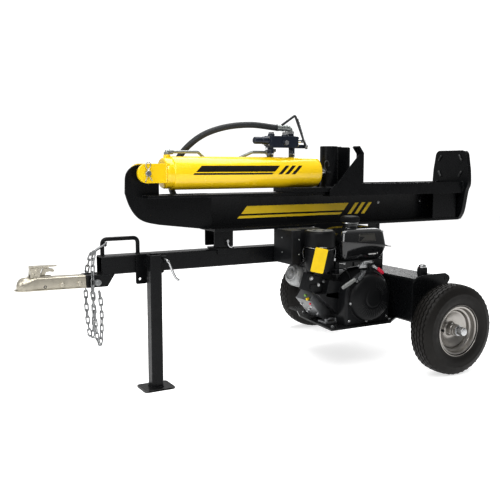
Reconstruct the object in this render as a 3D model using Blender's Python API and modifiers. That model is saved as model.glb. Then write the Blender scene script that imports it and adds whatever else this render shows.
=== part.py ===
"""Towable hydraulic log splitter with a petrol engine and a beam that tilts up for vertical splitting.

Run with: blender --background --python part.py

Every position below is in metres from the point on the ground under the axle:
+X runs back to the footplate, -X forward to the tow coupler, -Y is the engine's side, +Z is up.
The root empty then shifts the machine so that the world origin is under the middle of its length.
"""
import math

import bmesh
import bpy
from mathutils import Matrix, Vector

# ---- driving dimensions (metres) ----
GAP = 0.0003                 # left between touching pieces
COUPLER_NOSE_X = -1.797
FOOT_BACK_X = 0.538
AXLE_X = -(COUPLER_NOSE_X + FOOT_BACK_X) / 2

TYRE_RADIUS = 0.205          # 4.80-8 trailer tyre
TYRE_HALF_WIDTH = 0.0585
RIM_BEAD_RADIUS = 0.1016     # 8 inch rim
WHEEL_Y = 0.5575
AXLE_Z = TYRE_RADIUS
SPINDLE_RADIUS = 0.0127

TONGUE_SIZE = 0.0762         # 3 inch square tube
TONGUE_WALL = 0.0048
TONGUE_TOP = 0.564
TONGUE_BOTTOM = TONGUE_TOP - TONGUE_SIZE
TONGUE_FRONT = -1.450
TONGUE_REAR = -0.034
TONGUE_SIDE = TONGUE_SIZE / 2

JACK_TUBE = 0.0505           # 2 inch square tube
JACK_X = -1.250
JACK_Y = -0.1125
JACK_PIVOT_Z = 0.530
JACK_FOOT_LENGTH = 0.137
JACK_FOOT_WIDTH = 0.112
JACK_PIN_X = -1.200
JACK_PIN_Z = 0.545

COUPLER_BACK = -1.513
COUPLER_BOLTS_X = (-1.613, -1.542)
COUPLER_BOLT_Z = 0.460
COUPLER_LATCH_X = -1.707
COUPLER_LATCH_Z = 0.519

BEAM_BOTTOM = 0.648          # W6 section, 6.5 inches deep
BEAM_TOP = 0.812
BEAM_HALF_FLANGE = 0.077
FLANGE = 0.0116
WEB = 0.0082
BEAM_FRONT = -0.950
TOP_FLANGE_FRONT = -1.256
BEAM_BACK = 0.5127
TILT_X = -0.005
TILT_Z = 0.545
TILT_HOLE_RADIUS = 0.0098
LATCH_PIN_X = -0.880
LATCH_PIN_Z = 0.603

FOOT_FRONT_X = 0.513
CYLINDER_Z = 0.905
CYLINDER_RADIUS = 0.07225    # 5 inch bore plus wall
BORE_RADIUS = 0.0635
CYLINDER_FRONT = -1.165
CYLINDER_REAR = -0.370
BASE_PIN_X = -1.251
BASE_PIN_HOLE_RADIUS = 0.0130
ROD_RADIUS = 0.0254
WEDGE_X = -0.290
WEDGE_TUBE_RADIUS = 0.044
ROD_PIN_X = WEDGE_X - 0.026
VALVE_Z = 1.052
LEVER_X = -0.437
LEVER_Z = 1.028

TANK_FRONT = -0.100
TANK_BACK = 0.095
TANK_HALF = 0.440
TANK_BOTTOM = 0.212
TANK_TOP = 0.418
BREATHER_X = -0.028
BREATHER_Y = -0.391

CRANK_X = -0.280
CRANK_Z = 0.335
CRANK_RADIUS = 0.0127
CYLINDER_TILT = math.radians(18.8)
BLOWER_FRONT = -0.314
BLOWER_BACK = -0.220
RECOIL_GRIP_Y = -0.372
THROTTLE_X = -0.262
THROTTLE_Z = 0.478
FUEL_CAP_X = -0.307
FUEL_CAP_Y = -0.200
FUEL_NECK_TOP = 0.669
AIR_CLEANER_X = -0.502
AIR_CLEANER_Y = -0.235

# ---- colours: base colour, roughness, metallic ----
PALETTE = {
    "black_paint": ((0.022, 0.024, 0.027), 0.42, 0.0),
    "yellow_paint": ((0.90, 0.62, 0.02), 0.25, 0.0),
    "zinc_coupler": ((0.62, 0.60, 0.53), 0.40, 0.9),
    "bright_zinc": ((0.72, 0.73, 0.74), 0.28, 1.0),
    "cast_alloy": ((0.55, 0.56, 0.57), 0.50, 0.8),
    "dark_steel": ((0.10, 0.11, 0.12), 0.40, 0.9),
    "engine_black": ((0.020, 0.021, 0.022), 0.38, 0.0),
    "gloss_black": ((0.012, 0.012, 0.013), 0.12, 0.0),
    "black_plastic": ((0.030, 0.031, 0.033), 0.50, 0.0),
    "grey_plastic": ((0.16, 0.165, 0.17), 0.45, 0.0),
    "tyre_rubber": ((0.028, 0.028, 0.029), 0.85, 0.0),
    "hose_rubber": ((0.055, 0.060, 0.065), 0.60, 0.0),
    "valve_blue": ((0.035, 0.050, 0.085), 0.35, 0.2),
    "chrome": ((0.80, 0.81, 0.82), 0.08, 1.0),
    "red_rubber": ((0.60, 0.03, 0.06), 0.45, 0.0),
}

# A flat outline is drawn in local XY. These turns stand it up so that it faces along a world axis.
FACING = {"X": (math.pi / 2, 0, math.pi / 2), "Y": (math.pi / 2, 0, 0), "Z": (0, 0, 0)}

# A turned profile's axis is local Z. These turns point it along a world axis.
POINTING = {"Z": (0, 0, 0), "Y": (-math.pi / 2, 0, 0), "-Y": (math.pi / 2, 0, 0)}


# ---- scene ----
def clear_scene():
    for item in list(bpy.data.objects):
        bpy.data.objects.remove(item, do_unlink=True)


def new_collection(name):
    collection = bpy.data.collections.new(name)
    bpy.context.scene.collection.children.link(collection)
    return collection


def new_empty(name, location, parent=None):
    empty = bpy.data.objects.new(name, None)
    empty.empty_display_size = 0.05
    empty.location = location
    empty.parent = parent
    PARTS.objects.link(empty)
    return empty


def pivot_at(name, location):
    """An empty on a joint's axis; the pieces that move with the joint hang from it."""
    return new_empty(name, location, ROOT)


def make_material(name):
    colour, roughness, metallic = PALETTE[name]
    material = bpy.data.materials.new(name)
    material.use_nodes = True
    shader = material.node_tree.nodes["Principled BSDF"]
    shader.inputs["Base Color"].default_value = (*colour, 1.0)
    shader.inputs["Roughness"].default_value = roughness
    shader.inputs["Metallic"].default_value = metallic
    material.diffuse_color = (*colour, 1.0)
    return material


def add_piece(name, mesh, finish, pivot=None):
    """Puts a mesh in the parts collection, under its joint's empty or the root."""
    piece = bpy.data.objects.new(name, mesh)
    PARTS.objects.link(piece)
    piece.parent = pivot or ROOT
    if pivot:
        piece.matrix_parent_inverse = Matrix.Translation(-pivot.location)
    mesh.materials.clear()
    mesh.materials.append(MATERIALS[finish])
    return piece


# ---- shapes ----
def shade(mesh):
    mesh.shade_smooth()
    mesh.set_sharp_from_angle(angle=math.radians(35))


def round_edges(piece, width, segments=1):
    bevel = piece.modifiers.new("Bevel", "BEVEL")
    bevel.width = width
    bevel.segments = segments
    bevel.limit_method = "ANGLE"
    bevel.angle_limit = math.radians(40)


def block(name, low, high, finish, pivot=None, bevel=0.0, segments=1, tilt=0.0):
    """A box between two corners, turned about Y through its middle by tilt."""
    low, high = Vector(low), Vector(high)
    mesh = bpy.data.meshes.new(name)
    bm = bmesh.new()
    bmesh.ops.create_cube(bm, size=1.0, matrix=Matrix.Diagonal((*(high - low), 1.0)))
    bm.to_mesh(mesh)
    bm.free()
    piece = add_piece(name, mesh, finish, pivot)
    piece.location = (low + high) / 2
    piece.rotation_euler = (0, tilt, 0)
    if bevel:
        round_edges(piece, bevel, segments)
    return piece


def waisted_block(name, low, high, waist_z, inset_top, inset_bottom, finish):
    """A box that is widest at its waist and draws in towards its top and bottom."""
    low, high = Vector(low), Vector(high)
    size, middle = high - low, (low + high) / 2
    mesh = bpy.data.meshes.new(name)
    bm = bmesh.new()
    bmesh.ops.create_cube(bm, size=1.0, matrix=Matrix.Diagonal((*size, 1.0)))
    geometry = bm.verts[:] + bm.edges[:] + bm.faces[:]
    waist = (0, 0, waist_z - middle.z)
    bmesh.ops.bisect_plane(bm, geom=geometry, plane_co=waist, plane_no=(0, 0, 1))
    for vertex in bm.verts:
        inset = inset_top if vertex.co.z > waist[2] + GAP else inset_bottom
        if abs(vertex.co.z - waist[2]) > GAP:
            vertex.co.x -= math.copysign(inset, vertex.co.x)
            vertex.co.y -= math.copysign(inset, vertex.co.y)
    bm.to_mesh(mesh)
    bm.free()
    piece = add_piece(name, mesh, finish)
    piece.location = middle
    return piece


def cylinder(name, start, end, radius, finish, pivot=None, sides=16, end_radius=None, bevel=0.0):
    start, end = Vector(start), Vector(end)
    along = end - start
    mesh = bpy.data.meshes.new(name)
    bm = bmesh.new()
    bmesh.ops.create_cone(
        bm, cap_ends=True, segments=sides, radius1=radius,
        radius2=radius if end_radius is None else end_radius, depth=along.length)
    bm.to_mesh(mesh)
    bm.free()
    shade(mesh)
    piece = add_piece(name, mesh, finish, pivot)
    piece.location = (start + end) / 2
    piece.rotation_euler = along.to_track_quat("Z", "Y").to_euler()
    if bevel:
        round_edges(piece, bevel)
    return piece


def turned(name, profile, base, facing, finish, pivot=None, steps=20, closed=True):
    """Turns a profile of (radius, height) about an axis through base.

    The profile runs down its outer side. A closed one goes round a ring's section.
    """
    mesh = bpy.data.meshes.new(name)
    bm = bmesh.new()
    corners = [bm.verts.new((radius, 0, height)) for radius, height in profile]
    for first, second in zip(corners, corners[1:]):
        bm.edges.new((first, second))
    if closed:
        bm.edges.new((corners[-1], corners[0]))
    bm.to_mesh(mesh)
    bm.free()
    piece = add_piece(name, mesh, finish, pivot)
    piece.location = base
    piece.rotation_euler = POINTING[facing]
    screw = piece.modifiers.new("Screw", "SCREW")
    screw.axis = "Z"
    screw.steps = steps
    screw.render_steps = steps
    screw.use_merge_vertices = True
    screw.merge_threshold = 0.0001
    screw.use_smooth_shade = True
    return piece


def mesh_from_curve(curve, name, finish, pivot=None):
    """Replaces a curve object by its welded mesh, so that it can be cut and joined."""
    bpy.context.view_layer.update()
    evaluated = curve.evaluated_get(bpy.context.evaluated_depsgraph_get())
    mesh = bpy.data.meshes.new_from_object(evaluated)
    bm = bmesh.new()
    bm.from_mesh(mesh)
    bmesh.ops.remove_doubles(bm, verts=bm.verts, dist=0.00001)
    bmesh.ops.dissolve_degenerate(bm, edges=bm.edges, dist=0.00001)
    bmesh.ops.recalc_face_normals(bm, faces=bm.faces)
    bm.to_mesh(mesh)
    bm.free()
    shade(mesh)
    piece = add_piece(name, mesh, finish, pivot)
    piece.location = curve.location
    piece.rotation_euler = curve.rotation_euler
    bpy.data.objects.remove(curve, do_unlink=True)
    return piece


def spline_object(name, points, dimensions, cyclic):
    curve = bpy.data.curves.new(name, "CURVE")
    curve.dimensions = dimensions
    spline = curve.splines.new("POLY")
    spline.points.add(len(points) - 1)
    for point, place in zip(spline.points, points):
        point.co = (*place, *([0.0] * (3 - len(place))), 1.0)
    spline.use_cyclic_u = cyclic
    carrier = bpy.data.objects.new(name + "_curve", curve)
    PARTS.objects.link(carrier)
    carrier.parent = ROOT
    return carrier


def plate(name, outline, thickness, centre, facing, finish, pivot=None):
    """A flat plate: its outline lies across the facing axis, and centre is its mid-plane's place on it."""
    carrier = spline_object(name, outline, "2D", True)
    carrier.data.fill_mode = "BOTH"
    carrier.data.extrude = thickness / 2
    carrier.rotation_euler = FACING[facing]
    carrier.location = {"X": (centre, 0, 0), "Y": (0, centre, 0), "Z": (0, 0, centre)}[facing]
    return mesh_from_curve(carrier, name, finish, pivot)


def rod(name, path, radius, finish, pivot=None, resolution=2):
    carrier = spline_object(name, path, "3D", False)
    carrier.data.bevel_depth = radius
    carrier.data.bevel_resolution = resolution
    carrier.data.use_fill_caps = True
    return mesh_from_curve(carrier, name, finish, pivot)


def rounded(corners, radius, steps=3, cyclic=True):
    """Rounds the corners of a path or outline with curves that reach about radius to each side."""
    points = []
    count = len(corners)
    for index, corner in enumerate(corners):
        here = Vector(corner)
        if not cyclic and index in (0, count - 1):
            points.append(tuple(here))
            continue
        back = Vector(corners[index - 1]) - here
        ahead = Vector(corners[(index + 1) % count]) - here
        half = back.angle(ahead) / 2
        reach = min(radius / math.tan(half), back.length * 0.48, ahead.length * 0.48)
        start, end = here + back.normalized() * reach, here + ahead.normalized() * reach
        for step in range(steps + 1):
            t = step / steps
            points.append(tuple(start.lerp(here, t).lerp(here.lerp(end, t), t)))
    return points


def arc(centre, radius, first_degrees, last_degrees, steps):
    angles = [first_degrees + (last_degrees - first_degrees) * i / steps for i in range(steps + 1)]
    return [(centre[0] + radius * math.cos(math.radians(a)), centre[1] + radius * math.sin(math.radians(a)))
            for a in angles]


# ---- joining and cutting ----
def boolean(piece, tool, operation):
    modifier = piece.modifiers.new(operation.title(), "BOOLEAN")
    modifier.operation = operation
    modifier.object = tool
    PARTS.objects.unlink(tool)
    CUTTERS.objects.link(tool)
    tool.name = piece.name + "_" + tool.name
    tool.display_type = "WIRE"
    tool.hide_render = True


def join(piece, *tools):
    for tool in tools:
        boolean(piece, tool, "UNION")
    return piece


def cut(piece, *tools):
    for tool in tools:
        boolean(piece, tool, "DIFFERENCE")
    return piece


def cross_hole(x, z, y_low, y_high, radius, pivot=None, sides=12):
    """A cutter for a hole that runs across the machine."""
    return cylinder("hole", (x, y_low, z), (x, y_high, z), radius, "dark_steel", pivot, sides)


# ---- towing frame ----
def build_tongue():
    tongue = block("tongue_tube", (TONGUE_FRONT, -TONGUE_SIDE, TONGUE_BOTTOM),
                   (TONGUE_REAR, TONGUE_SIDE, TONGUE_TOP), "black_paint", bevel=0.004)
    inner = TONGUE_SIDE - TONGUE_WALL
    cut(tongue, block("bore", (TONGUE_FRONT - 0.01, -inner, TONGUE_BOTTOM + TONGUE_WALL),
                      (TONGUE_REAR + 0.01, inner, TONGUE_TOP - TONGUE_WALL), "black_paint"))

    drop_front = COUPLER_BACK + GAP
    drop_outline = [(drop_front, 0.4395), (-1.427, 0.4395), (-1.396, TONGUE_BOTTOM - GAP),
                    (drop_front, TONGUE_BOTTOM - GAP)]
    drop = plate("coupler_drop", drop_outline, 0.074, 0.0, "Y", "black_paint")
    inner_bar = block("bar", (-1.660, -0.0222, 0.4452), (drop_front + 0.007, 0.0222, 0.4862), "black_paint")
    join(drop, inner_bar)
    for x in COUPLER_BOLTS_X:
        cut(drop, cross_hole(x, COUPLER_BOLT_Z, -0.05, 0.05, 0.0066))

    handle_path = [(-1.435, 0, TONGUE_TOP + GAP), (-1.435, 0, 0.6325), (-1.280, 0, 0.6325),
                   (-1.280, 0, TONGUE_TOP + GAP)]
    rod("tow_handle", rounded(handle_path, 0.022, 4, cyclic=False), 0.0085, "black_paint")


def build_coupler():
    body = block("coupler_body", (-1.735, -0.0275, 0.4440), (COUPLER_BACK, 0.0275, 0.4910), "zinc_coupler",
                 bevel=0.006)
    nose_x = COUPLER_NOSE_X + 0.040
    nose = cylinder("nose", (nose_x, 0, 0.4300), (nose_x, 0, 0.4890), 0.0365, "zinc_coupler", sides=20,
                    bevel=0.012)
    lip = cylinder("lip", (nose_x, 0, 0.4270), (nose_x, 0, 0.4325), 0.0400, "zinc_coupler", sides=20)
    ears = [block("ear", (-1.7285, y, 0.4880), (-1.6905, y + 0.0034, 0.5330), "zinc_coupler")
            for y in (-0.0186, 0.0152)]
    join(body, nose, lip, *ears)
    channel = block("channel", (-1.722, -0.0228, 0.4200), (COUPLER_BACK + 0.01, 0.0228, 0.4868),
                    "zinc_coupler")
    socket = cylinder("socket", (nose_x, 0, 0.4200), (nose_x, 0, 0.4800), 0.0262, "zinc_coupler", sides=16)
    throat = block("throat", (nose_x, -0.0200, 0.4200), (-1.715, 0.0200, 0.4780), "zinc_coupler")
    cut(body, channel, socket, throat)
    for x in COUPLER_BOLTS_X:
        cut(body, cross_hole(x, COUPLER_BOLT_Z, -0.05, 0.05, 0.0066))
    cut(body, cross_hole(-1.680, 0.4560, -0.05, 0.05, 0.0050))
    cut(body, cross_hole(COUPLER_LATCH_X, COUPLER_LATCH_Z, -0.03, 0.03, 0.0046))

    for name, x in zip(("coupler_bolt_front", "coupler_bolt_rear"), COUPLER_BOLTS_X):
        z = COUPLER_BOLT_Z
        bolt = cylinder(name, (x, -0.0300, z), (x, 0.0330, z), 0.0060, "bright_zinc", sides=16)
        head = cylinder("head", (x, -0.0348, z), (x, -0.0278, z), 0.0108, "bright_zinc", sides=6)
        nut = cylinder("nut", (x, 0.0278, z), (x, 0.0350, z), 0.0108, "bright_zinc", sides=6)
        join(bolt, head, nut)

    pivot = pivot_at("coupler_latch_pivot", (COUPLER_LATCH_X, 0, COUPLER_LATCH_Z))
    latch = block("coupler_latch", (-1.725, -0.0145, 0.5010), (-1.668, 0.0145, 0.5410), "bright_zinc", pivot,
                  bevel=0.003)
    tail = block("tail", (-1.672, -0.0110, 0.5340), (-1.614, 0.0110, 0.5390), "bright_zinc", pivot)
    trigger_outline = rounded([(-1.672, 0.5200), (-1.640, 0.5140), (-1.624, 0.5200), (-1.626, 0.5260),
                               (-1.650, 0.5280), (-1.660, 0.5360), (-1.672, 0.5360)], 0.004, 2)
    trigger = plate("trigger", trigger_outline, 0.010, 0.0, "Y", "bright_zinc", pivot)
    axle = cylinder("axle", (COUPLER_LATCH_X, -0.0212, COUPLER_LATCH_Z),
                    (COUPLER_LATCH_X, 0.0212, COUPLER_LATCH_Z), 0.0042, "bright_zinc", pivot, 12)
    join(latch, tail, trigger, axle)

    clamp_pivot = pivot_at("ball_clamp_slide", (-1.702, 0, 0.465))
    clamp = block("ball_clamp", (-1.716, -0.0150, 0.4500), (-1.700, 0.0150, 0.4800), "dark_steel",
                  clamp_pivot)
    cut(clamp, cylinder("ball", (nose_x, 0, 0.430), (nose_x, 0, 0.500), 0.0450, "dark_steel", clamp_pivot,
                        32))


def chain_path(side):
    """From the hook on the tow handle, down past the coupler, round the hanging loop and up to its bolt."""
    y = 0.052 * side
    return rounded([
        (-1.4560, 0.014 * side, 0.612), (-1.4720, 0.024 * side, 0.565), (-1.4950, y * 0.8, 0.505),
        (-1.5080, y, 0.460), (-1.5080, y * 1.1, 0.330), (-1.4860, y * 1.1, 0.185), (-1.4640, y * 1.1, 0.330),
        (-1.4620, y * 1.05, 0.4450)], 0.03, 2, cyclic=False)


def build_chains():
    for name, side in (("safety_chain_near", -1), ("safety_chain_far", 1)):
        rod(name, chain_path(side), 0.0080, "bright_zinc")


def build_jack():
    plate_back = -(TONGUE_SIDE + GAP)
    bracket_outline = rounded([(-1.305, 0.440), (-1.262, 0.440), (-1.225, 0.480), (-1.180, 0.480),
                               (-1.180, 0.5475), (-1.229, 0.5475), (-1.229, 0.5640), (-1.305, 0.5640)],
                              0.006, 2)
    bracket = plate("jack_bracket", bracket_outline, 0.008, plate_back - 0.004, "Y", "black_paint")
    boss = cylinder("boss", (JACK_X, plate_back - 0.004, JACK_PIVOT_Z), (JACK_X, -0.0680, JACK_PIVOT_Z),
                    0.0210, "black_paint")
    stub = cylinder("stub", (JACK_X, -0.0600, JACK_PIVOT_Z), (JACK_X, -0.0950, JACK_PIVOT_Z), 0.0095,
                    "black_paint", sides=20)
    join(bracket, boss, stub)
    cut(bracket, cross_hole(-1.288, 0.461, -0.07, -0.03, 0.0065))
    notch = block("notch", (JACK_PIN_X - 0.0095, -0.07, JACK_PIN_Z - 0.0070),
                  (JACK_PIN_X + 0.0095, -0.03, 0.60), "black_paint")
    cut(bracket, notch)

    pivot = pivot_at("jack_pivot", (JACK_X, JACK_Y, JACK_PIVOT_Z))
    half = JACK_TUBE / 2
    inner = half - 0.0035
    leg = block("jack_leg", (JACK_X - half, JACK_Y - half, 0.0040), (JACK_X + half, JACK_Y + half, 0.5720),
                "black_paint", pivot, bevel=0.004)
    leg_inner = block("bore", (JACK_X - inner, JACK_Y - inner, 0.0120),
                      (JACK_X + inner, JACK_Y + inner, 0.5900), "black_paint", pivot)
    cut(leg, leg_inner)
    foot_outline = rounded([(JACK_X + sx * JACK_FOOT_LENGTH / 2, JACK_Y + sy * JACK_FOOT_WIDTH / 2)
                            for sx, sy in ((-1, -1), (1, -1), (1, 1), (-1, 1))], 0.016, 3)
    foot = plate("foot", foot_outline, 0.006, 0.003, "Z", "black_paint", pivot)
    leg_boss = cylinder("boss", (JACK_X, -0.0684, JACK_PIVOT_Z),
                        (JACK_X, JACK_Y + half - 0.002, JACK_PIVOT_Z), 0.0210, "black_paint", pivot)
    lug = block("lug", (JACK_X + half - 0.002, -0.0960, JACK_PIN_Z - 0.014),
                (JACK_PIN_X + 0.013, -0.0880, JACK_PIN_Z + 0.014), "black_paint", pivot)
    join(leg, foot, leg_boss, lug)
    cut(leg, cross_hole(JACK_X, JACK_PIVOT_Z, -0.098, -0.060, 0.0100, pivot),
        cross_hole(JACK_PIN_X, JACK_PIN_Z, -0.110, -0.070, 0.0064, pivot))

    pin_pivot = pivot_at("jack_pin_slide", (JACK_PIN_X, -0.090, JACK_PIN_Z))
    pin_path = [(JACK_PIN_X, -0.0395, JACK_PIN_Z), (JACK_PIN_X, -0.1260, JACK_PIN_Z),
                (JACK_PIN_X + 0.010, -0.1300, JACK_PIN_Z - 0.010),
                (JACK_PIN_X + 0.026, -0.1300, JACK_PIN_Z - 0.048),
                (JACK_PIN_X + 0.044, -0.1300, JACK_PIN_Z - 0.082),
                (JACK_PIN_X + 0.054, -0.1300, JACK_PIN_Z - 0.090)]
    rod("jack_pin", rounded(pin_path, 0.012, 2, cyclic=False), 0.0055, "bright_zinc", pin_pivot)


def build_saddle():
    """The cradle that the lowered beam rests in, with open notches for the lock pin."""
    front, back, pin_x, pin_z = -0.930, -0.838, LATCH_PIN_X, LATCH_PIN_Z
    top = TONGUE_TOP + GAP
    saddle = block("latch_saddle", (front, -0.0440, top), (back, 0.0440, top + 0.006), "black_paint")
    for side in (-1, 1):
        inner = TONGUE_SIDE + GAP
        sides = sorted((side * inner, side * (inner + 0.0055)))
        lip = block("lip", (front + 0.010, sides[0], 0.5430), (back, sides[1], top + 0.003), "black_paint")
        tabs = sorted((side * 0.0300, side * 0.0360))
        tab = block("tab", (pin_x - 0.022, tabs[0], top + 0.003), (pin_x + 0.022, tabs[1], 0.6180),
                    "black_paint")
        join(saddle, lip, tab)
    cut(saddle, block("notch", (pin_x - 0.0090, -0.05, pin_z - 0.0085), (pin_x + 0.0090, 0.05, 0.65),
                      "black_paint"))

    pin_pivot = pivot_at("latch_pin_slide", (pin_x, 0, pin_z))
    pin = cylinder("latch_pin", (pin_x, -0.0680, pin_z), (pin_x, 0.0600, pin_z), 0.0063, "bright_zinc",
                   pin_pivot, 16)
    loop_path = [(pin_x, -0.0660, pin_z), (pin_x + 0.004, -0.0660, pin_z - 0.020),
                 (pin_x + 0.020, -0.0660, pin_z - 0.030)]
    join(pin, rod("grip", rounded(loop_path, 0.010, 2, cyclic=False), 0.0035, "bright_zinc", pin_pivot, 1))


# ---- axle, tank and wheels ----
def build_tank():
    tank = block("hydraulic_tank", (TANK_FRONT, -TANK_HALF, TANK_BOTTOM), (TANK_BACK, TANK_HALF, TANK_TOP),
                 "black_paint", bevel=0.008)
    neck_x, neck_y, neck_top = BREATHER_X, BREATHER_Y, TANK_TOP + 0.010
    neck = cylinder("neck", (neck_x, neck_y, TANK_TOP - 0.003), (neck_x, neck_y, neck_top), 0.0200,
                    "black_paint")
    join(tank, neck)
    wall = 0.006
    hollow = block("hollow", (TANK_FRONT + wall, -TANK_HALF + wall, TANK_BOTTOM + wall),
                   (TANK_BACK - wall, TANK_HALF - wall, TANK_TOP - wall), "black_paint")
    filler = cylinder("filler", (neck_x, neck_y, TANK_TOP - 0.02), (neck_x, neck_y, TANK_TOP + 0.03), 0.0165,
                      "black_paint")
    cut(tank, hollow, filler)

    cap_pivot = pivot_at("breather_cap_axis", (neck_x, neck_y, neck_top))
    turned("breather_cap", [(0, 0.050), (0.014, 0.049), (0.021, 0.043), (0.0225, 0.034), (0.0225, 0.0),
                            (0, 0.0)], (neck_x, neck_y, neck_top + GAP), "Z", "black_plastic",
           cap_pivot, closed=False)

    wing_outline = rounded([(-0.135, 0.190), (0.048, 0.190), (0.062, 0.330), (0.072, 0.380), (0.092, 0.408),
                            (0.090, 0.424), (0.066, 0.439), (-0.070, 0.439), (-0.108, 0.431), (-0.135, 0.406)],
                           0.009, 3)
    for name, side in (("tank_end_near", -1), ("tank_end_far", 1)):
        centre = side * (TANK_HALF + GAP + 0.004)
        wing = plate(name, wing_outline, 0.008, centre, "Y", "black_paint")
        cut(wing, cross_hole(0.068, 0.416, centre - 0.01, centre + 0.01, 0.0080))


def build_spindles():
    for name, side in (("spindle_near", -1), ("spindle_far", 1)):
        flange = side * (TANK_HALF + 0.008 + 2 * GAP)
        spindle = cylinder(name, (0, flange, AXLE_Z), (0, side * 0.6060, AXLE_Z), SPINDLE_RADIUS,
                           "dark_steel")
        disc = cylinder("disc", (0, flange, AXLE_Z), (0, flange + side * 0.012, AXLE_Z), 0.036, "black_paint")
        shoulder = cylinder("shoulder", (0, flange, AXLE_Z), (0, side * 0.5060, AXLE_Z), 0.0210,
                            "black_paint")
        thread = cylinder("thread", (0, side * 0.6000, AXLE_Z), (0, side * 0.6240, AXLE_Z), 0.0095,
                          "dark_steel", sides=16)
        join(spindle, disc, shoulder, thread)
    for name, side in (("hub_nut_near", -1), ("hub_nut_far", 1)):
        nut = cylinder(name, (0, side * 0.6065, AXLE_Z), (0, side * 0.6270, AXLE_Z), 0.0205, "bright_zinc",
                       sides=6)
        dome = cylinder("dome", (0, side * 0.6250, AXLE_Z), (0, side * 0.6400, AXLE_Z), 0.0165, "bright_zinc",
                        sides=16, end_radius=0.0080)
        join(nut, dome)
        cut(nut, cylinder("thread", (0, side * 0.6000, AXLE_Z), (0, side * 0.6260, AXLE_Z), 0.0100,
                          "bright_zinc", sides=16))


def build_wheels():
    half = TYRE_HALF_WIDTH
    crown = [(0.1045, 0.0430), (0.1162, 0.0455), (0.1450, half), (0.1720, 0.0575), (0.1930, 0.0480),
             (TYRE_RADIUS, 0.0240)]
    liner = [(0.1045, 0.0360), (0.1350, 0.0490), (0.1880, 0.0360)]
    tyre_profile = crown + [(r, -w) for r, w in reversed(crown)]
    tyre_profile += [(r, -w) for r, w in liner] + list(reversed(liner))
    rim_profile = [(0.1155, 0.0500), (0.1155, 0.0465), (0.1035, 0.0440), (0.0900, 0.0180),
                   (0.0900, -0.0180), (0.1035, -0.0440), (0.1155, -0.0465), (0.1155, -0.0500),
                   (0.0985, -0.0470), (0.0860, -0.0200), (0.0270, -0.0060), (0.0240, -0.0450),
                   (0.0132, -0.0450), (0.0132, 0.0470), (0.0240, 0.0470), (0.0270, 0.0010),
                   (0.0860, -0.0140), (0.0860, 0.0160), (0.0985, 0.0470)]
    for label, side in (("near", -1), ("far", 1)):
        centre = (0, side * WHEEL_Y, AXLE_Z)
        pivot = pivot_at("wheel_axis_" + label, centre)
        facing = "-Y" if side < 0 else "Y"
        turned("tyre_" + label, tyre_profile, centre, facing, "tyre_rubber", pivot, 24)
        turned("rim_" + label, rim_profile, centre, facing, "bright_zinc", pivot)


# ---- beam ----
def i_section():
    """The beam's section in the YZ plane, as one closed outline."""
    edge, web, fillet = BEAM_HALF_FLANGE, WEB / 2, 0.003
    right = [(edge, BEAM_BOTTOM), (edge, BEAM_BOTTOM + FLANGE), (web, BEAM_BOTTOM + FLANGE + fillet),
             (web, BEAM_TOP - FLANGE - fillet), (edge, BEAM_TOP - FLANGE), (edge, BEAM_TOP)]
    return right + [(-y, z) for y, z in reversed(right)]


def build_tilt_bracket():
    inner = TONGUE_SIDE + GAP
    front, back = -0.095, 0.020
    riser = block("tilt_bracket", (front, -0.0470, TANK_TOP + GAP), (back, 0.0470, TONGUE_BOTTOM - GAP),
                  "black_paint")
    side_outline = rounded([(front, 0.4300), (back, 0.4300), (back, 0.5850), (-0.028, 0.5850),
                            (front, 0.5450)], 0.018, 3)
    for side in (-1, 1):
        join(riser, plate("cheek", side_outline, 0.009, side * (inner + 0.0045), "Y", "black_paint"))
    cut(riser, cross_hole(TILT_X, TILT_Z, -0.07, 0.07, TILT_HOLE_RADIUS, sides=24))

    pin = cylinder("tilt_pin", (TILT_X, -0.0560, TILT_Z), (TILT_X, 0.0560, TILT_Z), 0.0095, "bright_zinc",
                   sides=24)
    head = cylinder("head", (TILT_X, -0.0560, TILT_Z), (TILT_X, -0.0486, TILT_Z), 0.0150, "bright_zinc",
                    sides=6)
    end = cylinder("end", (TILT_X, 0.0486, TILT_Z), (TILT_X, 0.0560, TILT_Z), 0.0150, "bright_zinc", sides=6)
    join(pin, head, end)


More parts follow.
